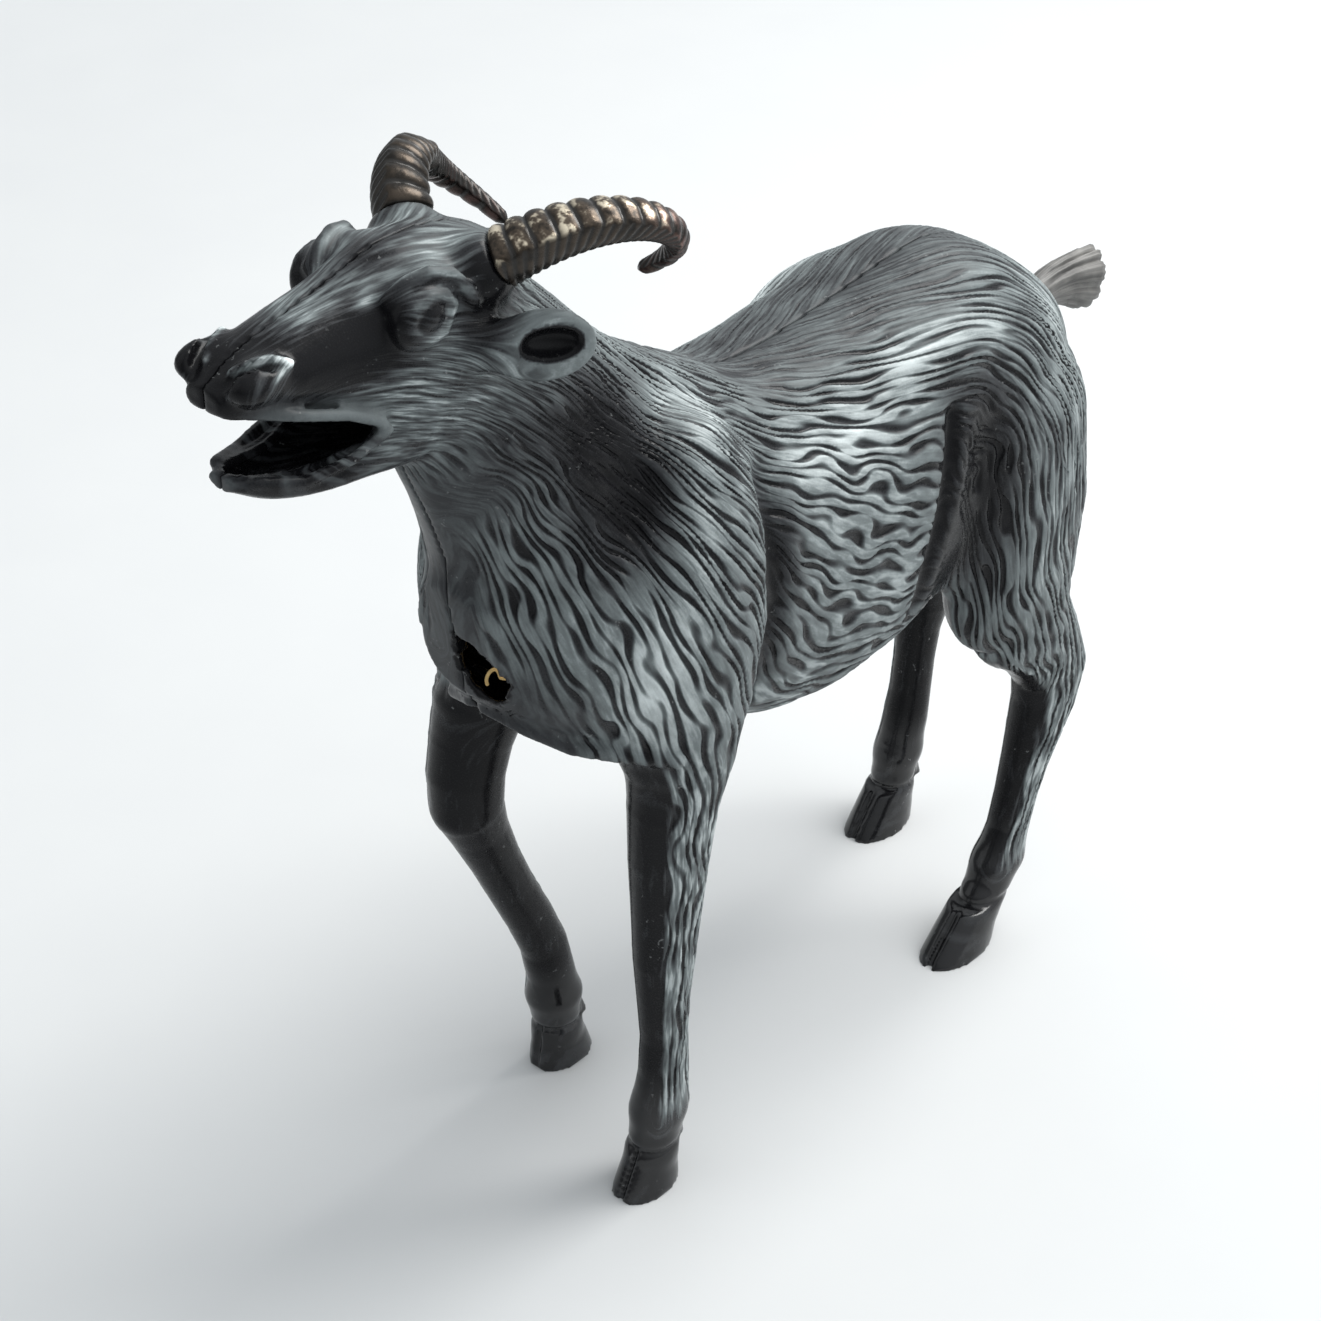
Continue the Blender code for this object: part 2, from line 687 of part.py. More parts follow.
def make_rod():
    """A wire whose front end is bent round into an open eye for the spring's hook."""
    path = []
    for degrees in range(40, 301, 26):
        a = math.radians(degrees)
        path.append(pull_point(EYE_AT + EYE_R * math.cos(a), 0.0, -EYE_R * math.sin(a)))
    path.append(pull_point(ROD_START - 1.2, 0.0, 0.6))
    path.append(pull_point(ROD_START, 0.0, 0.0))
    path.append(pull_point(ROD_END, 0.0, 0.0))
    return swept("pull_rod", path, [(ROD_R, ROD_R)] * len(path), sides=14)


def colour(obj, name, base, roughness, metallic=0.0):
    """A plain Principled material of the piece's own."""
    material = bpy.data.materials.new(name)
    material.use_nodes = True
    shader = material.node_tree.nodes["Principled BSDF"]
    shader.inputs["Base Color"].default_value = (*base, 1.0)
    shader.inputs["Roughness"].default_value = roughness
    shader.inputs["Metallic"].default_value = metallic
    obj.data.materials.clear()
    obj.data.materials.append(material)


def web_blocks():
    """Blocks left standing in the hollow, where the rod's webs are."""
    blocks = []
    for along in WEBS:
        _, y, z = pull_point(along)
        low = (-40.0, y - WEB_THICKNESS / 2, z - WEB_HALF_HEIGHT)
        high = (40.0, y + WEB_THICKNESS / 2, z + WEB_HALF_HEIGHT)
        blocks.append(box("web_block", low, high))
    return blocks


def anchor_post():
    """A stud on the right shell that the spring's front hook goes round."""
    ends = [pull_point(ANCHOR[0], x, ANCHOR[1]) for x in ANCHOR_ENDS]
    return swept("anchor_post", ends, [(ANCHOR_R, ANCHOR_R)] * 2, sides=14)


def tail_hole():
    """The opening in the rump that the tail's neck slides in."""
    w, h = TAIL_NECK
    path = [pull_point(112.0), pull_point(150.0)]
    return swept("tail_hole_cutter", path, [(w + GAP, h + GAP)] * 2, sides=20)


def keep_above(mesh, point, normal):
    """Cuts a closed mesh at a plane, keeps the side the normal points to and closes the cut."""
    everything = mesh.verts[:] + mesh.edges[:] + mesh.faces[:]
    cut = bmesh.ops.bisect_plane(
        mesh, geom=everything, plane_co=point, plane_no=normal, clear_inner=True
    )
    rim = [part for part in cut["geom_cut"] if isinstance(part, bmesh.types.BMEdge)]
    bmesh.ops.edgeloop_fill(mesh, edges=rim)


def half_of(obj, name, side):
    """The part of a closed mesh on one side of the seam, closed again along it."""
    half = copy_of(obj, name)
    mesh = bmesh.new()
    mesh.from_mesh(half.data)
    keep_above(mesh, (side * SEAM * MM, 0, 0), (side, 0, 0))
    keep_above(mesh, (0, 0, 0), (0, 0, 1))
    bmesh.ops.triangulate(mesh, faces=mesh.faces)
    bmesh.ops.recalc_face_normals(mesh, faces=mesh.faces)
    mesh.to_mesh(half.data)
    mesh.free()
    return half


def make_shells():
    """Both halves of the hollow body."""
    low, high = (-33.8, -104.13, -3.11), (33.0, 96.0, 190.0)
    skin = field_object("skin", body_field, low, high, OUTER_STEP, OUTER_TRIANGLES)
    hollow = field_object("hollow", cavity_field, low, high, INNER_STEP, INNER_TRIANGLES)
    for block in web_blocks():
        boolean(hollow, block, "DIFFERENCE")
    shells = []
    for name, side, horn in (
        ("left_body_shell", 1, LEFT_HORN),
        ("right_body_shell", -1, RIGHT_HORN),
    ):
        half = half_of(skin, name, side)
        boolean(half, copy_of(hollow, "hollow_copy"), "DIFFERENCE")
        boolean(half, chest_slot(), "DIFFERENCE")
        boolean(half, tail_hole(), "DIFFERENCE")
        boolean(half, straight("rod_hole", 31.0, 118.0, ROD_R + GAP + 0.1), "DIFFERENCE")
        boolean(half, horn_socket("socket", horn), "DIFFERENCE")
        shells.append(half)
    boolean(shells[1], anchor_post(), "UNION")
    bpy.data.objects.remove(skin, do_unlink=True)
    bpy.data.objects.remove(hollow, do_unlink=True)
    return shells


def main():
    for obj in list(bpy.data.objects):
        bpy.data.objects.remove(obj, do_unlink=True)
    left, right = make_shells()
    colour(left, "left shell plastic", (0.10, 0.11, 0.115), 0.5)
    colour(right, "right shell plastic", (0.11, 0.12, 0.125), 0.5)
    horn = make_horn("left_horn", LEFT_HORN)
    colour(horn, "left horn bronze", (0.12, 0.09, 0.07), 0.3, 0.8)
    horn = make_horn("right_horn", RIGHT_HORN)
    colour(horn, "right horn bronze", (0.11, 0.085, 0.07), 0.3, 0.8)
    tail = make_tail()
    set_origin(tail, pull_point(ROD_END))
    colour(tail, "tail plastic", (0.16, 0.15, 0.14), 0.55)
    rod = make_rod()
    set_origin(rod, pull_point(EYE_AT))
    colour(rod, "pull rod steel", (0.35, 0.35, 0.36), 0.3, 1.0)
    colour(make_spring(), "spring brass", (0.60, 0.42, 0.20), 0.3, 1.0)


main()
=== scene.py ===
"""Looks of the hollow moulded plastic goat: furred shells, ribbed horns, tail, spring and rod.

Lengths are millimetres of the goat's drawing, turned into the frame's metres by metres(). +Z is up,
the nose points along -Y, the goat's left is +X and the moulding seam is the plane X = 0.
"""

import math

import bpy
import numpy as np
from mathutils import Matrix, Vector


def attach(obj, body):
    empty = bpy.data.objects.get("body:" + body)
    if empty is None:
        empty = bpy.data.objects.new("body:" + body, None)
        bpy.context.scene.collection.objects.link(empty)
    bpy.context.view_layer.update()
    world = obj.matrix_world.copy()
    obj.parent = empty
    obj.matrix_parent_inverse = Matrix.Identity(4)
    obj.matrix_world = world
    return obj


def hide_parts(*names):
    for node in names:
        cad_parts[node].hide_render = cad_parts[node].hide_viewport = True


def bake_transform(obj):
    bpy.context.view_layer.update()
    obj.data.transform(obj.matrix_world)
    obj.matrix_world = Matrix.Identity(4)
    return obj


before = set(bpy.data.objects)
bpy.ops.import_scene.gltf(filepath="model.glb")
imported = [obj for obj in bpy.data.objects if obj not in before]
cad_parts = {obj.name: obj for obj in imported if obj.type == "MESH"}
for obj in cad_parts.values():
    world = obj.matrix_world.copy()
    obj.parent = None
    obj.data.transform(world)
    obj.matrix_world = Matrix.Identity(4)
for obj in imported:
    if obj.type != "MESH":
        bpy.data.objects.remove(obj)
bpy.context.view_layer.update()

MM = 0.001
MIDDLE_Y = 1.65  # half way between the nose and the tail's end
GAP = 0.3  # clearance between neighbouring pieces
SEAM = 0.15  # each shell's outer edge stops this far from the seam plane
SEAM_INSIDE = 0.01  # and its inner edge this far
SEAM_DEPTH = 0.9  # of the groove between the two edges
WALL = 1.8
SKIN_STEP = 0.5  # grid step of the shells
INNER_SHARE = 0.12  # of the hidden inner faces kept
HOLLOW_EDGE = 0.35  # a surface nearer to the hollow than this is an inner one
GRID_LOW = (-0.6 * SKIN_STEP, -104.0, -1.0)  # corners of the grid that holds one shell
GRID_HIGH = (28.5, 92.0, 187.0)
FAR = 1e3  # a distance from everything
GRID_INSIDE = -0.02  # the least depth given to a grid point that is inside
RELIEF = 0.6  # height of the moulded fur

# The pull line runs from the chest opening to the tail, rising a little to the rear.
PULL_FRONT = (-50.8, 106.0)
PULL_REAR = (84.0, 116.3)
PULL_ANGLE = math.atan2(PULL_REAR[1] - PULL_FRONT[1], PULL_REAR[0] - PULL_FRONT[0])
PULL_TRAVEL = 6.0  # until the bend behind the rod's eye meets the front web

ROD_R = 0.6
EYE_R = 1.7  # to the centre of the wire
EYE_AT = 27.3  # along the pull line
ROD_START = EYE_AT + EYE_R + 2.2  # where the rod runs straight
ROD_END = 128.0
SPRING_R = 2.5  # to the centre of the wire
WIRE_R = 0.27
COIL_START = 2.2  # along the pull line
COIL_END = 23.4
SPRING_TURNS = 10
ANCHOR_R = 0.7
ANCHOR = (0.69, -1.46)  # along and above the pull line
ANCHOR_ENDS = (-12.0, 1.6)
TAIL_NECK = (2.6, 3.0)  # half width and half height of the tail's neck

TRUNK_POWER = 2.4  # the back is flatter than an ellipse
# Stations of the trunk: y, top, bottom, half width.
TRUNK = (
    (-55.5, 119, 107, 5.5), (-52, 126, 99.5, 12.5), (-46, 131, 93.5, 17.5), (-38, 134, 90, 20.5),
    (-27, 137, 87, 22), (-14, 138, 81.5, 22.4), (0, 137, 74.5, 21.8), (14, 136.8, 71.5, 22.2),
    (28, 138, 73, 22.6), (42, 139.8, 76.5, 21.5), (52, 140.3, 80, 20), (60, 137.8, 82, 19),
    (68, 132.8, 84, 17.5), (76, 126.6, 88, 14.5), (82, 121.5, 95, 10), (84.5, 117, 103, 5),
)
# Stations of the neck across its own axis: along, centre, half depth, half width.
NECK_ORIGIN = (-22.0, 112.0)
NECK_PITCH = math.radians(121.0)
NECK = (
    (-14, 0, 20, 15), (0, 0, 26, 18.6), (11, 0, 27.6, 19.2), (18, 0, 27, 18.4), (26, 0.9, 24.3, 16.6),
    (35, 1.8, 20.3, 14), (44, 2.3, 18, 12), (54, 2.8, 16.4, 10.8), (62, 2.5, 14, 9.8), (70, 1, 9, 7),
)
# Stations of the head above the mouth: y, top, bottom, half width.
SKULL = (
    (-46, 176, 166, 4), (-50, 179.5, 160, 8), (-56, 182.2, 155, 10.6), (-62, 183.2, 152, 11.4),
    (-68, 183.3, 151, 10.8), (-73, 182.3, 153.5, 9.4), (-78, 180.8, 159.5, 8.4),
    (-83, 179.8, 164.5, 7.7), (-88, 178.6, 167.4, 7.2), (-93, 177.4, 169.4, 6.6),
    (-96.8, 175.8, 170.2, 5.2), (-99.2, 173.6, 170.8, 2.6),
)
# Stations of the lower jaw: y, top, bottom, half width.
JAW = (
    (-64, 166, 150.4, 8), (-70, 165, 151, 9.2), (-76, 163.4, 152.2, 8.8), (-81, 161, 153.2, 8.2),
    (-85, 159.6, 153.8, 7.4), (-89, 159.8, 154.6, 6.6), (-93, 160.6, 155.6, 5.4),
    (-96, 161, 157.4, 3.6), (-97.6, 160.6, 159, 1.6),
)

# Stations of the hollow between the jaws: y, top, bottom, half width.
MOUTH = (
    (-96, 170.4, 159.6, 1.4), (-94.5, 170.6, 158.8, 3.2), (-90, 169.4, 157.8, 4.8),
    (-86, 167.9, 157.2, 5.2), (-82, 166, 157, 5.7), (-78, 165, 157.4, 6.6), (-74, 164.2, 157.8, 6.6),
)

# Stations down each leg: x, y, z, half depth, half width.
LEFT_FORE = (
    (13.5, -22, 118, 13, 8), (14.5, -23, 106, 13, 9), (15.2, -24, 96, 11.5, 9),
    (15.8, -25.5, 86, 9.6, 8), (15.8, -27.2, 77, 7.8, 6.9), (15.8, -28.2, 67, 6.9, 6.2),
    (15.8, -28.8, 56, 5.9, 5.5), (15.8, -29.3, 47, 5.3, 4.9), (15.8, -29.5, 37.5, 4.4, 4.2),
    (15.8, -29.3, 30, 4, 3.9), (15.8, -29.5, 22, 4.3, 4.1), (15.8, -30.2, 17, 4.8, 4.4),
    (15.8, -31.4, 11, 4.5, 4.2), (15.8, -32.2, 7, 4.6, 4.3),
)
RIGHT_FORE = (
    (-13.5, -26, 118, 13, 8), (-14.5, -28, 106, 12.5, 9), (-15.5, -32, 96, 10.5, 9),
    (-17, -36, 86, 8.2, 7.4), (-17.5, -38.2, 79, 7, 6.6), (-17.5, -39.7, 73, 6.6, 6.2),
    (-17.5, -39.9, 67, 6.3, 5.9), (-17.5, -37.4, 60, 5.1, 4.8), (-17.5, -34.1, 52, 4.4, 4.3),
    (-17.5, -30.6, 44, 4.2, 4), (-17.5, -26.6, 35.5, 4.2, 4), (-17.5, -23.2, 27.3, 4.2, 4.1),
    (-17.5, -21.6, 20, 4.4, 4.1), (-17.5, -21, 15, 4.8, 4.4), (-17.5, -20.6, 10, 4.5, 4.2),
    (-17.5, -20.4, 7, 4.6, 4.3),
)
LEFT_HIND = (
    (12.5, 58, 114, 15, 8.5), (14.5, 59, 104, 18.5, 9.5), (16, 59.5, 90, 18, 9.2),
    (16.8, 59.4, 79, 15.4, 8.6), (17.2, 62.4, 69, 10.8, 7.8), (17.3, 68.5, 61, 8.4, 7),
    (17.3, 73.2, 53, 7.2, 6.4), (17.3, 72.6, 46, 6.2, 5.7), (17.3, 70.4, 40, 5.3, 5),
    (17.3, 68.2, 34, 4.5, 4.3), (17.3, 66.2, 27.3, 4, 3.9), (17.3, 64.3, 20.5, 4, 3.8),
    (17.3, 62.2, 15, 4.6, 4.2), (17.3, 58.8, 9.5, 4.4, 4.1), (17.3, 56.5, 7, 4.5, 4.2),
)
RIGHT_HIND = (
    (-12.5, 58, 114, 15, 8.5), (-14.5, 60, 104, 18.5, 9.5), (-16, 62, 90, 18, 9.2),
    (-16.8, 64, 79, 15, 8.6), (-17.2, 69, 69, 11, 7.6), (-17.3, 76.5, 61, 8.2, 6.8),
    (-17.3, 81.8, 54, 6.9, 6), (-17.3, 81.6, 48, 5.6, 5.2), (-17.3, 80.6, 42, 4.4, 4.2),
    (-17.3, 79.8, 35, 4, 3.9), (-17.3, 79.1, 28, 4.1, 3.9), (-17.3, 78, 22, 4.5, 4.2),
    (-17.3, 76.6, 17, 4.6, 4.2), (-17.3, 75.4, 12, 4.4, 4.1), (-17.3, 74.4, 8, 4.5, 4.2),
)
# Lumps on each side of the head: blend, centre, radii, pitch and yaw of brow, horn boss, eye and nose.
HEAD_LUMPS = (
    (3.5, (8.2, -68, 178.2), (2.5, 5.2, 2.5), 10, 20), (2, (6.6, -56.6, 176.8), (5.6, 5.6, 5.4), 0, 0),
    (2.4, (9.3, -69.4, 175.8), (2.4, 5.2, 4.2), 0, 8), (1.6, (4.6, -93.8, 174.6), (3, 4.8, 2.8), 0, 14),
)
CHEST_HOLLOW = (0.0, -47.5, 108.0, 11.0, 7.6, 9.5)  # centre and radii, behind the chest opening
EAR_STALK = ((8.5, -62.5, 169.5, 3.6, 2.6), (13.6, -58.4, 168.4, 3, 2))
# Lines along the face, each through a few points: lids, brow, nostril and its rims, and lips.
LIDS = (
    ((10.3, -73.4, 176.9), (11, -72, 178.7),
     (11.3, -69.2, 179.5), (10.9, -66.2, 178.4), (10.2, -64.6, 176.2)),
    ((10.3, -73.4, 176.9), (11, -72.6, 174.8),
     (11.2, -70, 173.1), (10.9, -67, 173.4), (10.2, -64.6, 176.2)),
)
BROW = (
    (7.4, -73.4, 179), (8.1, -70.8, 180.9), (9.2, -67.8, 181.7), (10, -64.6, 180.8), (10.7, -62.4, 178),
    (10.7, -61.2, 175.4),
)
NOSTRIL = ((2.9, -98.2, 175.2), (4.4, -95.4, 176.3), (5.8, -92.4, 176.9))
NOSTRIL_RIMS = (
    ((2.6, -96.2, 176.1), (3.9, -94, 176.9), (5.3, -91.4, 177.2), (6.5, -89.8, 176.5)),
    ((4.4, -98, 174), (6.2, -95.8, 174.4), (6.8, -92.8, 175.2), (6.5, -89.9, 176.2)),
)
UPPER_LIP = ((3, -97.6, 171), (6.6, -90, 168.7), (8, -82, 166), (8.7, -77, 163.2))
LOWER_LIP = ((8.9, -76, 161.6), (8.2, -82, 159.4), (6.7, -89, 158.6), (4, -95, 160))
EAR_HOLLOW = (18.8, -54.8, 169.2)
EAR_HOLLOW_SIZE = (2.7, 4.1, 2.2)
EAR_YAW = -38
# Folds behind the shoulder and before the haunch, and the chest's lower edge, over the front legs.
SHOULDER_FOLD = (
    (19.5, -10.5, 129), (21.5, -11, 122), (22.6, -11.5, 115), (22.8, -10.5, 108), (22.8, -12.5, 101),
    (19.5, -10.5, 90),
)
HAUNCH_FOLD = (
    (20.6, 35, 121), (21.6, 33.4, 114), (22.3, 31.8, 107), (22.3, 30.2, 101), (21.8, 28.6, 95),
    (20.4, 28.6, 88),
)
CHEST_EDGE = (
    (1.5, -53, 101.5), (7.5, -50.6, 99), (12, -45.6, 95), (16.5, -38.8, 92), (22, -33.4, 91),
)
# The chest opening: y and z of its ends, then how far it reaches left and right of the seam along it.
SLOT_TOP = (-58.3, 115.8)
SLOT_BOTTOM = (-54.0, 104.6)
SLOT = (
    (0, 0.3, 0), (0.08, 3.6, 0.2), (0.22, 5.8, 0), (0.4, 7.7, 0.4), (0.56, 8.2, 0), (0.74, 7.9, -1.9),
    (0.9, 6.6, -3.6), (1, 4.8, -4.6),
)
# Lines along which the paint is thick (+) or thin (-), with their reach and amount. Among them is
# painted light: a painted highlight at the eye's front corner and on the nostril rims, and painted shade
# in the folds behind the shoulder and before the haunch and under the brow.
PAINT_AND_LIGHT_LINES = (
    (LIDS[0], 0.9, 0.5), (LIDS[1], 1, 0.7), (((10.9, -73.2, 175.8), (11.1, -72.3, 174.9)), 0.7, 0.8),
    (BROW, 1, 0.8), (NOSTRIL, 0.9, -0.9), (NOSTRIL_RIMS[0], 1, 1.25), (NOSTRIL_RIMS[1], 1.1, 1.2),
    (UPPER_LIP, 1.6, 0.15), (SHOULDER_FOLD, 3, -0.4), (HAUNCH_FOLD, 3, -0.5),
    (((8.8, -73.2, 177.9), (9.6, -70.4, 180.3), (10.3, -67, 180.6), (10.6, -64.2, 178.6)), 0.9, -0.6),
)
LEGS = (LEFT_FORE, RIGHT_FORE, LEFT_HIND, RIGHT_HIND)
# Hooves: x, y of the sole's centre, its half depth and half width, and how far the top leans back.
HOOVES = (
    (15.8, -34, 6.6, 4.7, 1.8), (-17.5, -19.6, 6.4, 4.7, -0.9), (17.3, 50.4, 8.8, 5.2, 5),
    (-17.3, 70.6, 8.2, 5.2, 3.4),
)
HOOF_HEIGHT = 8.5

# Horn centre lines as control points; the right one sits a little lower at the back.
LEFT_HORN = (
    (9.6, -54.5, 178.9), (16, -49.9, 184), (19.7, -38.9, 185.4), (24.6, -33.8, 181.4),
    (23.8, -30.4, 176.4), (12.8, -31.3, 169.6),
)
RIGHT_HORN = (
    (-9.6, -54.4, 179), (-17.5, -49.8, 186.4), (-18.3, -39.9, 181.6), (-24.9, -38, 175.5),
    (-24.3, -32.3, 174.4), (-12.4, -31.6, 168.6),
)
HORN_BASE_R = 4.4
HORN_TIP_R = 1.1
HORN_RIBS = 15
HORN_PEG_R = 1.6
HORN_PEG_LENGTH = 3.0

# Spring hooks: along and above the pull line in front, and along, beside and above it behind.
FRONT_HOOK = (
    (-0.5, -2.15), (-0.72, -1.4), (-0.45, -0.65), (0.2, -0.13), (1.05, -0.1), (1.8, -0.7), (2.1, -1.7),
)
REAR_HOOK = (
    (24.2, 1.7, -1.6), (25.2, 1.7, -0.5), (26.4, 1.25, 0), (27.3, 0.5, 0), (27.4, -0.3, 0),
    (26.9, -1.2, 0), (26, -1.6, 0),
)

# Webs inside the trunk that carry the rod, and how far along the pull line they are.
WEB_THICKNESS = 2.0
WEB_HALF_HEIGHT = 8.0
WEBS = (ROD_START + PULL_TRAVEL + GAP + WEB_THICKNESS / 2, 100.0)

# The camera: a long lens in front of the goat's left shoulder, looking down.
VIEW_AZIMUTH = 41.9
VIEW_ELEVATION = 34.3
VIEW_DISTANCE = 500.0
VIEW_TARGET = (-11.1, -0.1, 77.2)
VIEW_ANGLE = 24.83

WORLD_LIGHT = (0.2, 1.05)  # from in front and from behind
LIGHT_FROM = (0.35, 0.55, 0.76)
LIGHT_AIM = (0, 0, 90)
KEY_LIGHT = 5.6  # watts
FILL_LIGHT = 0.4

# Fur: distance between neighbouring locks and their length, coarse and fine.
LOCK_SPACING = 1.45
LOCK_LENGTH = 6.5
FINE_SPACING = 0.95
TURNS = 4  # rounds of fitting the spacing of the locks to their direction
SMOOTHING = 6  # rounds of evening out the spacing between neighbours
DRIFT = 2.0  # how far locks wander together, in spacings
KNIT = 1.7  # how far each wanders on its own
BRANCHING = 3.8  # how strongly locks merge and end
HAIR_SHARE = 0.15  # of the height, for single hairs on the locks
FUR_BASE = 0.62  # the height that stays where the plain surface is
GLOSS_FADE = (0.016, 0.026)  # metres above the floor, from glossy hooves to satin legs

# Colours, linear.
# From bare black plastic to thick grey paint, by how much paint lies on it; the pale top step shows
# mostly on the painted highlights.
PAINT_STEPS = (
    (0.0, (0.0065, 0.0065, 0.0075, 1.0)), (0.35, (0.035, 0.037, 0.04, 1.0)),
    (0.6, (0.085, 0.095, 0.098, 1.0)), (0.9, (0.18, 0.205, 0.208, 1.0)), (1.5, (0.74, 0.8, 0.8, 1.0)),
)
SCUFF = (0.30, 0.31, 0.31, 1.0)
HORN_DARK = (0.020, 0.018, 0.016, 1.0)
BRONZE = (0.13, 0.10, 0.075, 1.0)
COPPER = (0.15, 0.085, 0.075, 1.0)
# Pale gold of the painted highlights on the horns' ribs.
BRONZE_PAINTED_HIGHLIGHT = (0.85, 0.75, 0.58, 1.0)
TAIL_DARK = (0.05, 0.048, 0.045, 1.0)
TAIL_PAINT = (0.19, 0.185, 0.175, 1.0)
BRASS = (0.80, 0.58, 0.26, 1.0)
BRASS_DULL = (0.45, 0.30, 0.13, 1.0)
STEEL = (0.55, 0.55, 0.56, 1.0)
STEEL_DULL = (0.30, 0.30, 0.31, 1.0)
FLOOR_REACH = 4.0  # metres
FLOOR = (0.62, 0.63, 0.635, 1.0)
FLOOR_LIGHT = (0.65, 0.66, 0.66, 1.0)
FLOOR_GLOW = 0.45  # far off, where the lamps don't reach, as the camera sees it

HORN_RINGS = 241
HORN_AROUND = 72
TAIL_AROUND = 128
# Each horn's keel, the edge between its banded upper face and its lower face, points this way.
LEFT_KEEL = (0.61, -0.68, 0.38)
RIGHT_KEEL = (0.34, -0.75, 0.53)
UPPER_FACE = 1.9  # how far round from the keel the banded face reaches, in radians

# Which way the fur runs on the side of the body: y, z, and the direction's y and z.
FUR_FLOW = (
    (-90, 174, 1, 0), (-78, 170, 1, -0.15), (-66, 162, 0.9, -0.45), (-58, 156, 0.75, -0.65),
    (-66, 183, 1, 0.1), (-54, 180, 1, -0.3), (-42, 152, 0.7, -0.7), (-58, 142, 0.25, -0.97),
    (-52, 128, 0.45, -0.89), (-54, 108, 0.48, -0.88), (-36, 139, 0.46, -0.89), (-40, 120, 0.35, -0.94),
    (-40, 98, 0.3, -0.95), (-24, 140, 0.55, -0.83), (-24, 120, 0.2, -0.98), (-24, 100, 0.05, -1),
    (-26, 84, -0.05, -1), (-29, 60, -0.05, -1), (-29, 25, -0.05, -1), (-6, 136, 1, -0.15),
    (-8, 122, 0.8, -0.6), (-8, 104, 0.5, -0.86), (-4, 88, 0.7, -0.7), (12, 137, 1, 0.03),
    (8, 124, 0.88, -0.47), (12, 108, 0.8, -0.6), (10, 92, 0.85, -0.5), (14, 79, 0.98, -0.2),
    (32, 137, 1, 0.03), (30, 128, 1, 0.1), (26, 112, 0.9, -0.4), (26, 94, 0.95, -0.2),
    (44, 134, 1, 0.1), (42, 118, 0.45, -0.9), (42, 98, 0.05, -1), (58, 134, 0.9, -0.4),
    (58, 120, 0.4, -0.9), (58, 98, -0.06, -1), (56, 80, 0.15, -1), (74, 122, 0.5, -0.87),
    (78, 108, 0.2, -0.98), (62, 68, 0.6, -0.8), (73, 56, 0.15, -1), (70, 40, -0.25, -0.97),
    (64, 22, -0.25, -0.97),
)
FLOW_REACH = 9.0  # how far one of these is felt

# Where the grey paint is thick (+) or thin down to the black plastic (-), with painted light among them:
# painted highlights on the shoulder top, flank and hip crest (+), and painted shade in the hollow where
# the neck meets the shoulder, in the haunch hollow, in the folds behind the shoulder and before the
# haunch and under the chest and belly (-). x, y, z, the reach along x, y and z, and the amount.
PAINT_AND_LIGHT_PATCHES = (
    (0, -99, 173.5, 8, 2.2, 6, -0.9), (2, -94, 177.5, 3, 6, 1.6, -0.7),
    (7.5, -84, 173.8, 3, 6, 3.2, -1), (9, -76.5, 173.8, 3, 5, 3.6, -0.8),
    (8.5, -76.5, 178, 2.4, 3, 1.8, -0.7), (2.2, -82, 179.4, 1.6, 8, 1.4, 0.45),
    (0.5, -72, 182.4, 1.6, 12, 2, -0.45), (7.5, -84, 168, 3, 7, 2, 0.3),
    (5.6, -75.3, 179.2, 1, 1.5, 0.8, 0.8), (10.8, -57.5, 177.2, 2.6, 4, 4.4, -0.8),
    (11.5, -59.5, 173.4, 2.2, 2.2, 3, -0.5), (9.5, -63, 165.5, 3, 4, 3, -0.2),
    (5, -62, 182.5, 5, 7, 2, 0.3), (10.5, -70, 163.5, 6, 9, 6, 0.25),
    (11.5, -69.5, 176.5, 3, 5, 4, 0.15), (18.5, -53, 168.3, 4, 7, 6, 0.4),
    (6, -89, 157.5, 8, 10, 2.4, -0.45), (15.8, -36.5, 137, 5, 7, 13, -1.1),
    (13.5, -41, 147, 4, 5, 6, -0.55), (11, -52, 150, 5, 6, 4, -0.35),
    (1.5, -58, 128, 3.2, 5, 16, -0.12), (7, -54, 103, 10, 7, 6, -0.2), (17, -44, 122, 5, 6, 8, 0.22),
    (22.9, -37, 115, 4, 4, 9, 0.35), (20, -39, 104, 4, 4, 8, 0.3), (14, -24, 142, 6, 7, 3.6, 0.5),
    (21, -29, 132, 3.6, 4, 7, 0.45), (23, -30, 95, 4, 6, 8, 0.15), (21.6, -8.5, 118, 4, 3, 8, -0.6),
    (22.4, -11, 104, 4, 2.4, 12, -0.4), (18.3, 8, 126, 4, 13, 4.4, 0.36),
    (20.5, 8, 114, 4, 12, 6, 0.12), (15.3, 34, 132.5, 4, 8, 2.6, 0.5), (17.5, 46, 129, 4, 4, 2.2, 0.4),
    (20.6, 42, 120, 4, 5, 5, -0.15), (21.5, 43.5, 106, 4, 5.5, 14, -1),
    (21.5, 34, 104, 4, 2.6, 14, -0.35), (20, 33, 92, 4, 6, 6, -0.3), (12, 70, 124, 8, 8, 10, 0.15),
    (4, 10, 138, 6, 26, 3, -0.08), (22, 20, 95, 5, 12, 8, 0.16), (24, 58, 88, 5, 6, 10, 0.16),
    (24, 70, 60, 6, 6, 10, 0.1), (8, -34, 90, 12, 14, 2.6, -0.35), (6, 14, 72, 14, 26, 4, -0.3),
)

# Where the locks are fine: x, y, z, the reach along x, y and z, and the amount.
FINE_PATCHES = (
    (15, -14, 134, 7, 4, 8, 0.9), (18, 66, 122, 9, 9, 12, 0.9), (22, 66, 100, 8, 6, 14, 0.7),
    (20, 40, 124, 5, 4, 5, 0.4), (10, -62, 165, 8, 14, 12, 0.7),
)

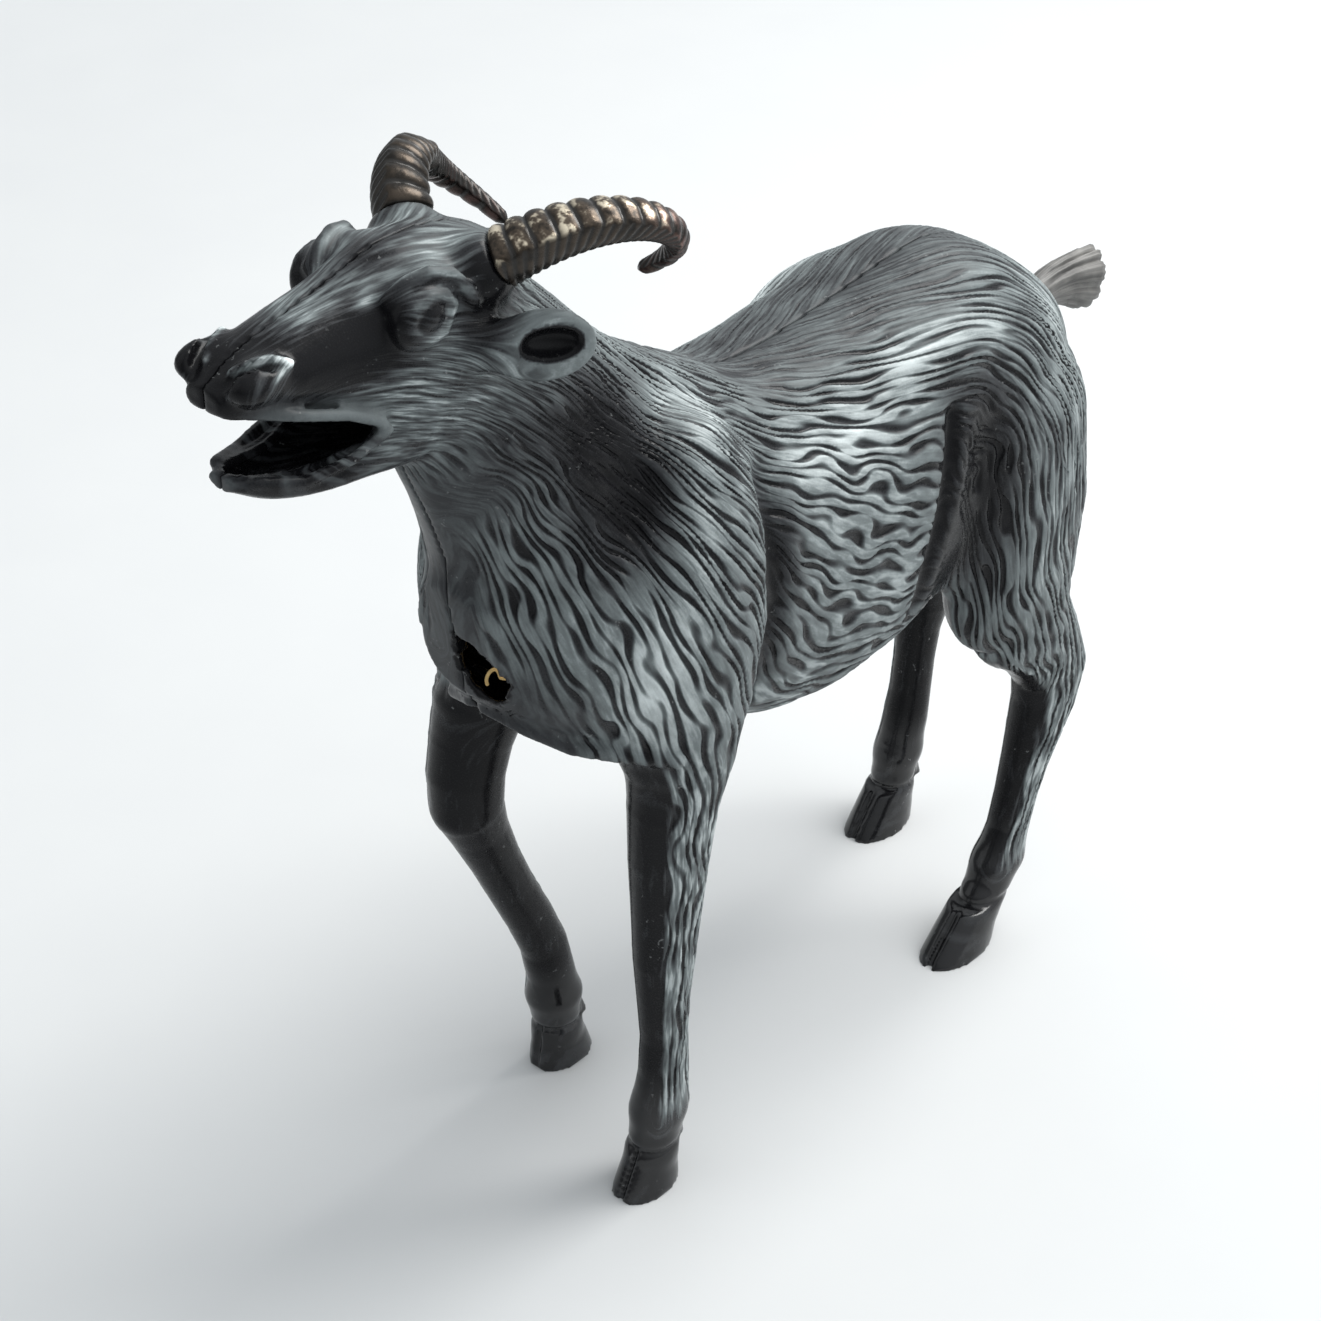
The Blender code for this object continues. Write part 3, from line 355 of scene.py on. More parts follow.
# Where the moulding is smooth and has no fur: x, y, z and the reach along x, y and z.
BARE_PATCHES = (
    (6, -95, 174, 6, 6, 7), (8, -82, 176, 5, 6, 3.6), (10, -69.5, 176.5, 3.5, 5, 3.6),
    (16.5, -54.5, 168.5, 4.5, 5, 4.6), (9.5, -55.5, 178, 4.5, 3.6, 4), (7, -88, 157, 8, 9, 3.6),
    (6, -90, 168, 7, 8, 2.2), (9.5, -50, 99, 5, 5, 4.6), (4.5, -57, 106, 6.5, 6, 6),
    (1.5, -59, 124, 3.2, 5, 16), (5, -60, 143, 5, 5, 4), (22.5, -12, 112, 4, 1.6, 8),
    (21.5, 36, 92, 4, 3, 9),
)


# ---- fields


def unit(vector):
    """The vector at length 1."""
    return vector / np.linalg.norm(vector)


def pull_point(along, x=0.0, up=0.0):
    """A point given along the pull line from its front end, and beside it."""
    c, s = math.cos(PULL_ANGLE), math.sin(PULL_ANGLE)
    return (x, PULL_FRONT[0] + along * c - up * s, PULL_FRONT[1] + along * s + up * c)


def bezier(control, count):
    """Points along a Bezier curve."""
    n = len(control) - 1
    points = []
    for step in range(count):
        t = step / (count - 1)
        weights = [math.comb(n, i) * t ** i * (1 - t) ** (n - i) for i in range(n + 1)]
        points.append(tuple(sum(w * c[a] for w, c in zip(weights, control)) for a in range(3)))
    return points


def smooth_table(knots, values, soften):
    """Values between the knots, rounded off over a length of soften."""
    knots = np.asarray(knots, float)
    fine = np.arange(knots[0], knots[-1] + 0.25, 0.5)
    line = np.interp(fine, knots, values)
    reach = max(1, int(3 * soften / 0.5))
    weight = np.exp(-0.5 * (np.arange(-reach, reach + 1) * 0.5 / soften) ** 2)
    padded = np.pad(line, reach, mode="edge")
    return fine, np.convolve(padded, weight / weight.sum(), mode="valid")


def section_distance(across, side, half_depth, half_width, power=2.0):
    """Signed distance, roughly, from an ellipse, or from a squarer oval when power is over 2."""
    u = np.abs(across / half_depth) + 1e-6
    v = np.abs(side / half_width) + 1e-6
    k = (u ** power + v ** power) ** (1 / power)
    slope = np.sqrt(
        ((u / k) ** (power - 1) / half_depth) ** 2 + ((v / k) ** (power - 1) / half_width) ** 2
    )
    return (k - 1) / slope


def loft(points, origin, pitch, stations, inset=0.0, power=2.0, soften=2.5):
    """A body of elliptical sections along a straight axis in the seam plane."""
    x, y, z = points
    c, s = math.cos(pitch), math.sin(pitch)
    along = (y - origin[0]) * c + (z - origin[1]) * s
    across = (z - origin[1]) * c - (y - origin[0]) * s
    knots = [row[0] for row in stations]
    centre, depth, width = (
        np.interp(along, *smooth_table(knots, [row[i] for row in stations], soften))
        for i in (1, 2, 3)
    )
    depth = np.maximum(depth - inset, 0.3)
    width = np.maximum(width - inset, 0.3)
    t = across - centre
    d = section_distance(t, x, depth, width, power)
    return np.maximum(d, np.maximum(knots[0] + inset - along, along - knots[-1] + inset))


def top_bottom(stations):
    """Turns rows of top and bottom into rows of centre and half depth."""
    rows = [(s, (top + low) / 2, (top - low) / 2, width) for s, top, low, width in stations]
    return sorted(rows)


def tube(points, stations, inset=0.0):
    """A limb through stations of x, y, z, half depth and half width."""
    x, y, z = points
    rows = np.asarray(stations, float)
    out = np.full(x.shape, FAR, np.float32)
    for a, b in zip(rows[:-1], rows[1:]):
        axis = b[:3] - a[:3]
        reach = max(a[3], b[3]) + 8
        near = (
            (x > min(a[0], b[0]) - reach) & (x < max(a[0], b[0]) + reach)
            & (y > min(a[1], b[1]) - reach) & (y < max(a[1], b[1]) + reach)
            & (z > min(a[2], b[2]) - reach) & (z < max(a[2], b[2]) + reach)
        )
        px, py, pz = x[near] - a[0], y[near] - a[1], z[near] - a[2]
        t = np.clip((px * axis[0] + py * axis[1] + pz * axis[2]) / (axis @ axis), 0, 1)
        depth = a[3] + (b[3] - a[3]) * t - inset
        width = a[4] + (b[4] - a[4]) * t - inset
        rx, ry, rz = px - t * axis[0], py - t * axis[1], pz - t * axis[2]
        d = section_distance(np.sqrt(ry ** 2 + rz ** 2), rx, depth, width)
        out[near] = np.minimum(out[near], d)
    return out


def ellipsoid(points, centre, radii, pitch=0.0, yaw=0.0):
    """pitch turns the ellipsoid about X, then yaw about Z, in degrees."""
    x, y, z = (p - c for p, c in zip(points, centre))
    c, s = math.cos(math.radians(yaw)), math.sin(math.radians(yaw))
    x, y = x * c + y * s, y * c - x * s
    c, s = math.cos(math.radians(pitch)), math.sin(math.radians(pitch))
    y, z = y * c + z * s, z * c - y * s
    k0 = np.sqrt((x / radii[0]) ** 2 + (y / radii[1]) ** 2 + (z / radii[2]) ** 2) + 1e-6
    k1 = np.sqrt(
        (x / radii[0] ** 2) ** 2 + (y / radii[1] ** 2) ** 2 + (z / radii[2] ** 2) ** 2
    ) + 1e-6
    return k0 * (k0 - 1) / k1


def join(a, b, blend):
    """Union of two fields with a fillet of about the blend length."""
    h = np.clip(0.5 + 0.5 * (b - a) / blend, 0, 1)
    return b + (a - b) * h - blend * h * (1 - h)


def hoof(points, x0, y0, depth, width, lean):
    """A hoof that narrows upwards."""
    x, y, z = points
    rise = np.clip(z / HOOF_HEIGHT, 0, 1)
    shrink = 1 - 0.36 * rise ** 1.3
    d = section_distance(y - y0 - lean * rise, x - x0, depth * shrink, width * (1 - 0.2 * rise))
    return np.maximum(d, z - HOOF_HEIGHT)


def both_sides(points, make):
    """The union of a shape and its mirror image across the seam."""
    x, y, z = points
    return np.minimum(make((x, y, z)), make((-x, y, z)))


def head_field(points):
    """Skull, upper jaw, lower jaw, brows, cheeks and ears."""
    d = loft(points, (0, 0), 0.0, top_bottom(SKULL), soften=1.6)
    d = join(d, loft(points, (0, 0), 0.0, top_bottom(JAW), soften=1.6), 1.5)
    for blend, *shape in HEAD_LUMPS:
        d = join(d, pair(points, *shape), blend)
    stalk = both_sides(points, lambda p: tube(p, EAR_STALK))
    ear = pair(points, (16.6, -54.4, 168.3), (2.0, 7.2, 5.4), 0, EAR_YAW)
    return join(d, join(ear, stalk, 2.5), 2.0)


def body_field(points):
    """The whole outer skin of the two shells."""
    d = loft(points, (0, 0), 0.0, top_bottom(TRUNK), power=TRUNK_POWER)
    neck = loft(points, NECK_ORIGIN, NECK_PITCH, NECK)
    d = join(d, neck, 9.0)
    d = join(d, head_field(points), 3.0)
    for leg in LEGS:
        d = join(d, tube(points, leg), 4.0)
    for sole in HOOVES:
        d = join(d, hoof(points, *sole), 1.0)
    d = join(d, pair(points, (14.5, -26.0, 112.0), (10.5, 14.0, 27.0), -8, 0), 6.0)
    return np.maximum(d, -1.0 - points[2])


def cavity_field(points):
    """The hollow inside: trunk, neck and head, less the wall."""
    d = loft(points, (0, 0), 0.0, top_bottom(TRUNK), inset=WALL + 0.6, power=TRUNK_POWER)
    d = join(d, loft(points, NECK_ORIGIN, NECK_PITCH, NECK, inset=WALL), 6.0)
    skull = loft(points, (0, 0), 0.0, top_bottom(SKULL), inset=WALL, soften=1.6)
    jaw = loft(points, (0, 0), 0.0, top_bottom(JAW), inset=WALL, soften=1.6)
    head = join(skull, jaw, 1.0)
    throat = loft(points, (0, 0), 0.0, top_bottom(MOUTH), power=2.3, soften=0.8)
    head = join(head, throat, 1.6)
    chest = ellipsoid(points, CHEST_HOLLOW[:3], CHEST_HOLLOW[3:])
    return join(join(d, head, 3.0), chest, 3.0)


# ---- shell shape


def capsule(points, start, end, radius):
    """A round bar between two points."""
    axis = np.subtract(end, start)
    away = [p - a for p, a in zip(points, start)]
    t = np.clip(sum(a * b for a, b in zip(away, axis)) / (axis @ axis), 0, 1)
    return np.sqrt(sum((a - t * b) ** 2 for a, b in zip(away, axis))) - radius


def crease(points, line, radius):
    """A bent round bar through a few points, on both sides."""
    x, y, z = points
    parts = [capsule((np.abs(x), y, z), a, b, radius) for a, b in zip(line[:-1], line[1:])]
    return np.minimum.reduce(parts)


def carve(a, b, blend):
    """Field a with field b taken away, with a rounded edge."""
    return -join(-a, b, blend)


def pair(points, *shape):
    """An ellipsoid on each side of the seam."""
    return both_sides(points, lambda p: ellipsoid(p, *shape))


def ridge(points, d, line, radius, blend):
    """Field d with a raised line on each side of the seam."""
    return join(d, crease(points, line, radius), blend)


def face_detail(points, d):
    """Eyes, lids, brows, ears, nostrils and lips."""
    d = carve(d, pair(points, (13.0, -69.4, 176.2), (2.6, 3.7, 2.6), 0, 6), 0.5)
    for lid in LIDS:
        d = ridge(points, d, lid, 0.6, 0.6)
    d = join(d, pair(points, (9.8, -69.6, 176.4), (2.45, 3.1, 2.6)), 0.15)
    d = ridge(points, d, BROW, 0.85, 1.4)
    d = carve(d, pair(points, EAR_HOLLOW, EAR_HOLLOW_SIZE, 0, EAR_YAW), 0.5)
    for rim in NOSTRIL_RIMS:
        d = ridge(points, d, rim, 0.35, 1.0)
    d = carve(d, crease(points, NOSTRIL, 0.95), 0.4)
    d = ridge(points, d, UPPER_LIP, 0.8, 1.8)
    return ridge(points, d, LOWER_LIP, 0.75, 1.2)


def trunk_detail(points, d):
    """Folds behind the shoulder and before the haunch, the hip crest and the chest's lower edge."""
    d = join(d, pair(points, (14.5, -24.0, 134.0), (6.5, 8.0, 9.0)), 5.0)
    d = carve(d, crease(points, SHOULDER_FOLD, 1.4), 5.0)
    d = join(d, pair(points, (13.5, 41.0, 129.5), (5.2, 12.0, 4.6), -4, 0), 4.0)
    d = carve(d, crease(points, HAUNCH_FOLD, 1.3), 3.0)
    d = carve(d, pair(points, (26.0, 43.0, 107.0), (5.5, 5.0, 14.0)), 3.5)
    d = carve(d, pair(points, (20.5, -38.0, 140.0), (5.4, 5.5, 12.0), -20, 0), 3.0)
    return ridge(points, d, CHEST_EDGE, 1.2, 1.4)


def leg_detail(points, d):
    """The notch of each hoof, the groove above it, the fetlock and the dew claws."""
    low_leg = ramp(-points[2], -24.0, -20.0)
    d = d + 0.45 * np.exp(-((points[2] - HOOF_HEIGHT - 0.6) / 0.6) ** 2)
    d = d - low_leg * 0.5 * np.exp(-((points[2] - 15.0) / 2.5) ** 2)
    for x0, y0, depth, width, lean in HOOVES:
        low, high = (x0, y0 - depth - 0.4, -1.0), (x0, y0 - depth * 0.62 + lean, HOOF_HEIGHT)
        d = carve(d, capsule(points, low, high, 0.55), 0.5)
        for side in (-1, 1):
            claw = (x0 + side * width * 0.45, y0 + lean + depth * 0.55, HOOF_HEIGHT + 2.5)
            tip = (claw[0], claw[1] + 0.6, claw[2] - 1.8)
            d = join(d, capsule(points, claw, tip, 0.9), 0.8)
    return d


def pull_frame(points):
    """How far along the pull line and how far above it points are."""
    _, y, z = points
    c, s = math.cos(PULL_ANGLE), math.sin(PULL_ANGLE)
    dy, dz = y - PULL_FRONT[0], z - PULL_FRONT[1]
    return dy * c + dz * s, dz * c - dy * s


def slot_field(points):
    """The opening in the chest seam, most of it a bite out of the left shell, with a ragged edge."""
    x, y, z = points
    top, bottom = np.array(SLOT_TOP), np.array(SLOT_BOTTOM)
    axis = bottom - top
    length = np.linalg.norm(axis)
    axis = axis / length
    along = (y - top[0]) * axis[0] + (z - top[1]) * axis[1]
    t = along / length
    knots = [row[0] for row in SLOT]
    left = np.interp(t, knots, [row[1] for row in SLOT])
    right = np.interp(t, knots, [row[2] for row in SLOT])
    ragged = 0.2 * np.sin(t * 23.0) + 0.15 * np.sin(t * 41.0 + 1.0)
    away = np.maximum(x - left - ragged, -x - right + 1.5 * ragged)
    deep = (y - top[0] - along * axis[0]) * -axis[1] + (z - top[1] - along * axis[1]) * axis[0]
    return np.maximum(np.maximum(away, np.abs(deep) - 6.0), np.abs(t - 0.5) * length - length / 2)


def opening_field(points, horn):
    """Everything cut out of a shell: slot, tail opening, rod holes and horn socket."""
    x = points[0]
    along, above = pull_frame(points)
    w, h = TAIL_NECK
    neck = section_distance(above, x, h + GAP, w + GAP)
    d = np.minimum(slot_field(points), np.maximum(neck, 112.0 - along))
    rod = np.sqrt(above ** 2 + x ** 2) - ROD_R - GAP - 0.1
    d = np.minimum(d, np.maximum(rod, ROD_START - along))
    path = [np.array(p) for p in bezier(horn, 40)[:15]]
    down = unit(path[0] - path[1])
    base = [capsule(points, a, b, HORN_BASE_R + GAP) for a, b in zip(path[:-1], path[1:])]
    behind = sum(c * (p - o) for c, p, o in zip(down, points, path[0]))
    socket = np.maximum(np.minimum.reduce(base), behind - GAP)
    peg = capsule(points, path[0], path[0] + down * (HORN_PEG_LENGTH + 4.0), HORN_PEG_R + GAP)
    return np.minimum(d, np.minimum(socket, peg))


def web_field(points):
    """The webs that carry the rod, as boxes across the hollow."""
    x, y, z = points
    d = np.full(x.shape, FAR, np.float32)
    for along in WEBS:
        _, yc, zc = pull_point(along)
        web = np.maximum(np.abs(y - yc) - WEB_THICKNESS / 2, np.abs(z - zc) - WEB_HALF_HEIGHT)
        d = np.minimum(d, web)
    return d


def shell_field(points, side, horn):
    """One half of the body: the outer skin less the hollow and the openings, up to the seam."""
    outer = leg_detail(points, trunk_detail(points, face_detail(points, body_field(points))))
    hollow = np.maximum(cavity_field(points), -web_field(points))
    d = np.maximum(np.maximum(outer, -hollow), -points[2])
    d = np.maximum(d, -opening_field(points, horn))
    seam = SEAM_INSIDE + (SEAM - SEAM_INSIDE) * ramp(outer, -SEAM_DEPTH, -0.5 * SEAM_DEPTH)
    d = np.maximum(d, seam - side * points[0])
    if side < 0:
        ends = [pull_point(ANCHOR[0], x, ANCHOR[1]) for x in ANCHOR_ENDS]
        d = np.minimum(d, capsule(points, *ends, ANCHOR_R))
    return d


def plain_faces(field):
    """The field with no checkerboard grid face, so that its surface never touches itself."""
    field = np.where(np.abs(field) < -GRID_INSIDE, GRID_INSIDE, field).astype(np.float32)
    for _ in range(20):
        changed = 0
        for axis in range(3):
            first, second = [a for a in range(3) if a != axis]
            corners = []
            for da, db in ((0, 0), (0, 1), (1, 1), (1, 0)):
                cut = [slice(None)] * 3
                cut[first] = slice(da, field.shape[first] - 1 + da)
                cut[second] = slice(db, field.shape[second] - 1 + db)
                corners.append(field[tuple(cut)])
            a, b, c, d = (corner < 0 for corner in corners)
            mixed = (a == c) & (b == d) & (a != b)
            changed += int(mixed.sum())
            for corner, inside in zip(corners, (a, b, c, d)):
                corner[mixed & ~inside] = GRID_INSIDE
        if not changed:
            break
    return field


def surface_nets(field, low, step):
    """Quads and corner points of the zero surface of a sampled field."""
    field = plain_faces(field)
    inside = field < 0
    cells = tuple(n - 1 for n in field.shape)
    total = np.zeros(cells + (3,), np.float32)
    count = np.zeros(cells, np.int32)
    quads = []
    for axis in range(3):
        others = [a for a in range(3) if a != axis]
        first = [slice(None)] * 3
        second = [slice(None)] * 3
        first[axis] = slice(0, -1)
        second[axis] = slice(1, None)
        fa, fb = field[tuple(first)], field[tuple(second)]
        crossing = inside[tuple(first)] != inside[tuple(second)]
        at = np.argwhere(crossing)
        share = fa[crossing] / (fa[crossing] - fb[crossing])
        spot = at.astype(np.float32)
        spot[:, axis] += share
        flip = inside[tuple(first)][crossing]
        ring = []
        for da, db in ((0, 0), (1, 0), (1, 1), (0, 1)):
            cell = at.copy()
            cell[:, others[0]] -= da
            cell[:, others[1]] -= db
            ring.append(cell)
            ok = ((cell >= 0) & (cell < np.array(cells))).all(1)
            place = tuple(cell[ok].T)
            np.add.at(total, place, spot[ok])
            np.add.at(count, place, 1)
        inner = np.all([(c >= 0).all(1) & (c < np.array(cells)).all(1) for c in ring], axis=0)
        code = [np.ravel_multi_index(tuple(c[inner].T), cells) for c in ring]
        turn = flip[inner] ^ (axis == 1)
        face = np.stack(code, 1)
        face[turn] = face[turn][:, ::-1]
        quads.append(face)
    quads = np.concatenate(quads)
    used, index = np.unique(quads, return_inverse=True)
    flat = total.reshape(-1, 3)[used] / count.reshape(-1)[used][:, None]
    return flat * step + np.asarray(low, np.float32), index.reshape(-1, 4)


# ---- meshes


def metres(points):
    """Drawing points in millimetres as points of the frame in metres."""
    return (np.asarray(points, float) - (0.0, MIDDLE_Y, 0.0)) * MM


def new_object(name, data):
    """An object of its own in the scene."""
    obj = bpy.data.objects.new(name, data)
    bpy.context.scene.collection.objects.link(obj)
    return obj


def fast_mesh(name, verts, quads):
    """An object of quads from points in millimetres."""
    mesh = bpy.data.meshes.new(name)
    mesh.vertices.add(len(verts))
    mesh.vertices.foreach_set("co", metres(verts).astype(np.float32).ravel())
    mesh.loops.add(quads.size)
    mesh.loops.foreach_set("vertex_index", quads.astype(np.int32).ravel())
    mesh.polygons.add(len(quads))
    mesh.polygons.foreach_set("loop_start", np.arange(0, quads.size, 4, dtype=np.int32))
    mesh.update(calc_edges=True)
    mesh.validate()
    mesh.shade_smooth()
    return new_object(name, mesh)


def sampled(field, low, high, step):
    """A field on a grid: worked out once a block, and point by point only in blocks near its surface."""
    block = 6
    blocks = [int(math.ceil((b - a) / (block * step))) for a, b in zip(low, high)]
    fine = [a + step * np.arange(n * block, dtype=np.float32) for a, n in zip(low, blocks)]
    centres = [axis.reshape(-1, block).mean(1) for axis in fine]
    rough = field(np.meshgrid(*centres, indexing="ij")).astype(np.float32)
    reach = block * step * math.sqrt(3) / 2 + 1.5
    near = np.abs(rough) < reach
    for axis in range(3):
        rough = np.repeat(rough, block, axis)
        near = np.repeat(near, block, axis)
    at = np.nonzero(near)
    rough[at] = field([axis[i] for axis, i in zip(fine, at)])
    return rough


def vertex_points(mesh):
    """Vertices in drawing millimetres, and their normals."""
    points = np.empty(len(mesh.vertices) * 3, np.float32)
    mesh.vertices.foreach_get("co", points)
    normals = np.empty(len(mesh.vertices) * 3, np.float32)
    mesh.vertex_normals.foreach_get("vector", normals)
    return points.reshape(-1, 3) / MM + (0.0, MIDDLE_Y, 0.0), normals.reshape(-1, 3)


def columns(points):
    """The x, y and z of rows of points, as the fields take them."""
    return [np.ascontiguousarray(points[:, i], np.float32) for i in range(3)]


def apply_modifiers(obj):
    """Makes the evaluated mesh the object's own."""
    graph = bpy.context.evaluated_depsgraph_get()
    mesh = bpy.data.meshes.new_from_object(
        obj.evaluated_get(graph), preserve_all_data_layers=True, depsgraph=graph
    )
    obj.modifiers.clear()
    obj.data = mesh


def thin_inside(obj):
    """Fewer faces on the hidden inner wall."""
    points, _ = vertex_points(obj.data)
    hollow = cavity_field(columns(points))
    inner = (hollow < HOLLOW_EDGE) & (points[:, 1] > -62.0) & (np.abs(points[:, 0]) > 0.4)
    group = obj.vertex_groups.new(name="inner")
    group.add(np.nonzero(inner)[0].tolist(), 1.0, "REPLACE")
    share = inner.mean()
    modifier = obj.modifiers.new("Decimate", "DECIMATE")
    modifier.vertex_group = "inner"
    modifier.ratio = 1.0 - share * (1.0 - INNER_SHARE)
    apply_modifiers(obj)
    obj.vertex_groups.clear()


def least_squares(start, i, j, step, weight, rounds):
    """Values whose differences along the edges i to j come nearest to step, by conjugate gradients."""
    count = len(start)
    scale = 1 / (np.bincount(i, weight, count) + np.bincount(j, weight, count) + 1e-12)

    def spread(edge):
        edge = edge * weight
        return np.bincount(j, edge, count) - np.bincount(i, edge, count)

    x = start.copy()
    rest = spread(step - x[j] + x[i])
    line = scale * rest
    size = rest @ line
    for _ in range(rounds):
        moved = spread(line[j] - line[i])
        share = size / (line @ moved + 1e-20)
        x += share * line
        rest -= share * moved
        eased = scale * rest
        new = rest @ eased
        line = eased + line * (new / (size + 1e-20))
        size = new
    return x


def coordinate(points, edges, slope, matter, rounds):
    """A function on a mesh that rises along the slope vectors as evenly as it can where they matter.

    Round a leg no such function closes on itself: its jump falls on the side where nothing matters.
    """
    i, j = edges
    step = ((slope[i] + slope[j]) / 2 * (points[j] - points[i])).sum(1)
    weight = np.maximum(np.minimum(matter[i], matter[j]), 0.002)
    cell = np.floor(points / 3.0).astype(np.int64)
    key = cell @ (1, 1000, 1000000) + 1000000000 * (matter > 0.02)
    _, patch = np.unique(key, return_inverse=True)
    patch = patch.reshape(-1)
    many = patch.max() + 1
    size = np.bincount(patch)
    centre = np.stack([np.bincount(patch, points[:, k], many) / size for k in range(3)], 1)
    local = ((points - centre[patch]) * slope).sum(1)
    across = patch[i] != patch[j]
    a, b = i[across], j[across]
    whole = step[across] - local[b] + local[a]
    rough = least_squares(np.zeros(many), patch[a], patch[b], whole, weight[across], 500)
    value = least_squares(rough[patch] + local, i, j, step, weight, rounds)
    for _ in range(TURNS):
        pace = slope_found(points, edges, slope, value, weight)
        paced = (pace[i, None] * slope[i] + pace[j, None] * slope[j]) / 2
        step = (paced * (points[j] - points[i])).sum(1)
        value = least_squares(value, i, j, step, weight, rounds // 2)
    return value


def slope_found(points, edges, slope, value, weight):
    """How steeply a function on a mesh really rises along the slope vectors, smoothed a little."""
    i, j = edges
    count = len(points)
    run = ((slope[i] + slope[j]) / 2 * (points[j] - points[i])).sum(1)
    rise = (value[j] - value[i]) * run * weight
    length = run * run * weight
    rise = np.bincount(i, rise, count) + np.bincount(j, rise, count)
    length = np.bincount(i, length, count) + np.bincount(j, length, count) + 1e-9
    for _ in range(SMOOTHING):
        rise = rise + np.bincount(i, rise[j], count) + np.bincount(j, rise[i], count)
        length = length + np.bincount(i, length[j], count) + np.bincount(j, length[i], count)
        peak = length.max()
        rise, length = rise / peak, length / peak + 1e-12
    return np.clip(rise / length, 0.7, 1.5)


# ---- fur and paint maps


def ramp(value, low, high):
    """Smooth step from 0 at low to 1 at high."""
    t = np.clip((value - low) / (high - low), 0, 1)
    return t * t * (3 - 2 * t)


def blob(points, patch):
    """A soft spot: 1 at its centre, falling off over its reach."""
    far = sum(((points[:, k] - patch[k]) / patch[k + 3]) ** 2 for k in range(3))
    return np.exp(-0.5 * far)


def flow(points, normals):
    """The direction of the fur along the surface."""
    table = np.array(FUR_FLOW, float)
    away = (points[:, 1:2] - table[:, 0]) ** 2 + (points[:, 2:3] - table[:, 1]) ** 2
    away -= away.min(1, keepdims=True)
    weight = np.exp(-0.5 * away / FLOW_REACH ** 2)
    heading = np.zeros_like(points)
    heading[:, 1:] = weight @ table[:, 2:] / weight.sum(1, keepdims=True)
    heading -= normals * (heading * normals).sum(1, keepdims=True)
    return heading / (np.linalg.norm(heading, axis=1, keepdims=True) + 1e-6)


def leg_share(points):
    """1 on the thin part of a leg, 0 on the body."""
    y, z = points[:, 1], points[:, 2]
    front = ramp(-z, -93.0, -88.0) * (y < 5)
    hind = ramp(-z, -66.0, -58.0) * (y >= 5)
    return front + hind


def outward(normals):
    """How far a leg's surface faces to the side and rear, where its fur is."""
    return ramp(normals[:, 0] * 0.744 + normals[:, 1] * 0.668, -0.1, 0.16)


def seamward(points, normals):
    """1 on the inner sides of the legs, which face each other."""
    return ramp(-normals[:, 0], 0.1, 0.5) * ramp(-points[:, 2], -100.0, -92.0)


def relief_map(points, normals):
    """How deep the fur is."""
    deep = np.ones(len(points))
    for patch in BARE_PATCHES:
        deep *= 1 - np.minimum(1.5 * blob(points, patch), 1)
    head = ramp(points[:, 2], 148.0, 156.0) * ramp(-points[:, 1], 46.0, 54.0)
    deep *= 1 - 0.5 * head
    crown = ramp(points[:, 2], 176.0, 180.0) * ramp(normals[:, 2], 0.2, 0.6)
    deep *= 1 - 0.6 * crown
    back = ramp(normals[:, 2], 0.75, 0.95) * ramp(points[:, 2], 128.0, 134.0)
    deep *= 1 - 0.5 * back
    under = ramp(-normals[:, 2], 0.55, 0.85) * (1 - leg_share(points))
    deep *= 1 - 0.8 * under
    legs = leg_share(points)
    deep *= 1 - legs * (1 - 0.9 * outward(normals))
    deep *= 1 - seamward(points, normals)
    spots = columns(points)
    folds = ((HAUNCH_FOLD, 0.9, 2.4), (SHOULDER_FOLD, 1.0, 2.4))
    for line, low, high in ((UPPER_LIP, 0.0, 2.2), (LOWER_LIP, 0.0, 2.2)) + folds:
        deep *= ramp(crease(spots, line, 0.4), low, high)
    return deep * ramp(points[:, 2], 14.0, 20.0)


def fine_map(points, normals):
    """Where the locks are fine: along the back, behind the shoulder and on the rump."""
    fine = 0.5 * ramp(normals[:, 2], 0.8, 0.97) * ramp(points[:, 2], 128.0, 134.0)
    for patch in FINE_PATCHES:
        fine += patch[6] * blob(points, patch)
    return np.clip(fine, 0, 1)


def streak_map(points):
    """How much the paint runs in streaks: on the face, the legs and the chest's edge."""
    head = ramp(points[:, 2], 150.0, 158.0) * ramp(-points[:, 1], 50.0, 60.0)
    lip = crease(columns(points), UPPER_LIP, 0.0)
    return (0.22 + 0.45 * head + 0.35 * leg_share(points)) * ramp(lip, 1.0, 3.5)


def paint_and_light_map(points, normals, side):
    """How thickly the grey paint lies, with painted highlights and painted shade added in."""
    paint = np.full(len(points), 0.55)
    # Paint patches, with the painted highlights and painted shade among them.
    for patch in PAINT_AND_LIGHT_PATCHES:
        paint += patch[6] * blob(points, patch)
    # Painted shade: faces turned down, under the chest and belly, get less grey.
    under = ramp(-normals[:, 2], 0.5, 0.9) * (1 - leg_share(points))
    paint -= 0.3 * under
    paint -= 0.35 * seamward(points, normals)
    legs = leg_share(points)
    paint = paint * (1 - legs) + legs * (-0.1 + 0.75 * outward(normals))
    paint = paint * ramp(points[:, 2], 11.0, 18.0) - 0.05
    spots = columns(points)
    # Lines of paint, with the painted highlights and painted shade among them.
    for line, reach, amount in PAINT_AND_LIGHT_LINES:
        paint += amount * ramp(-crease(spots, line, 0.0), -reach, -0.25 * reach)
    ball = ellipsoid(spots, (9.8, -69.6, 176.4), (2.5, 2.9, 2.4))
    ear = ellipsoid(spots, EAR_HOLLOW, EAR_HOLLOW_SIZE, 0, EAR_YAW)
    slot = slot_field((side * spots[0], *spots[1:]))
    for hollow, amount in ((slot, 1.5), (ear, 2.0), (ball, 0.6)):
        paint -= amount * ramp(-hollow, -0.7, 0.1)
    return paint


def outer_part(points):
    """Which vertices are on the outside."""
    return cavity_field(columns(points)) > HOLLOW_EDGE


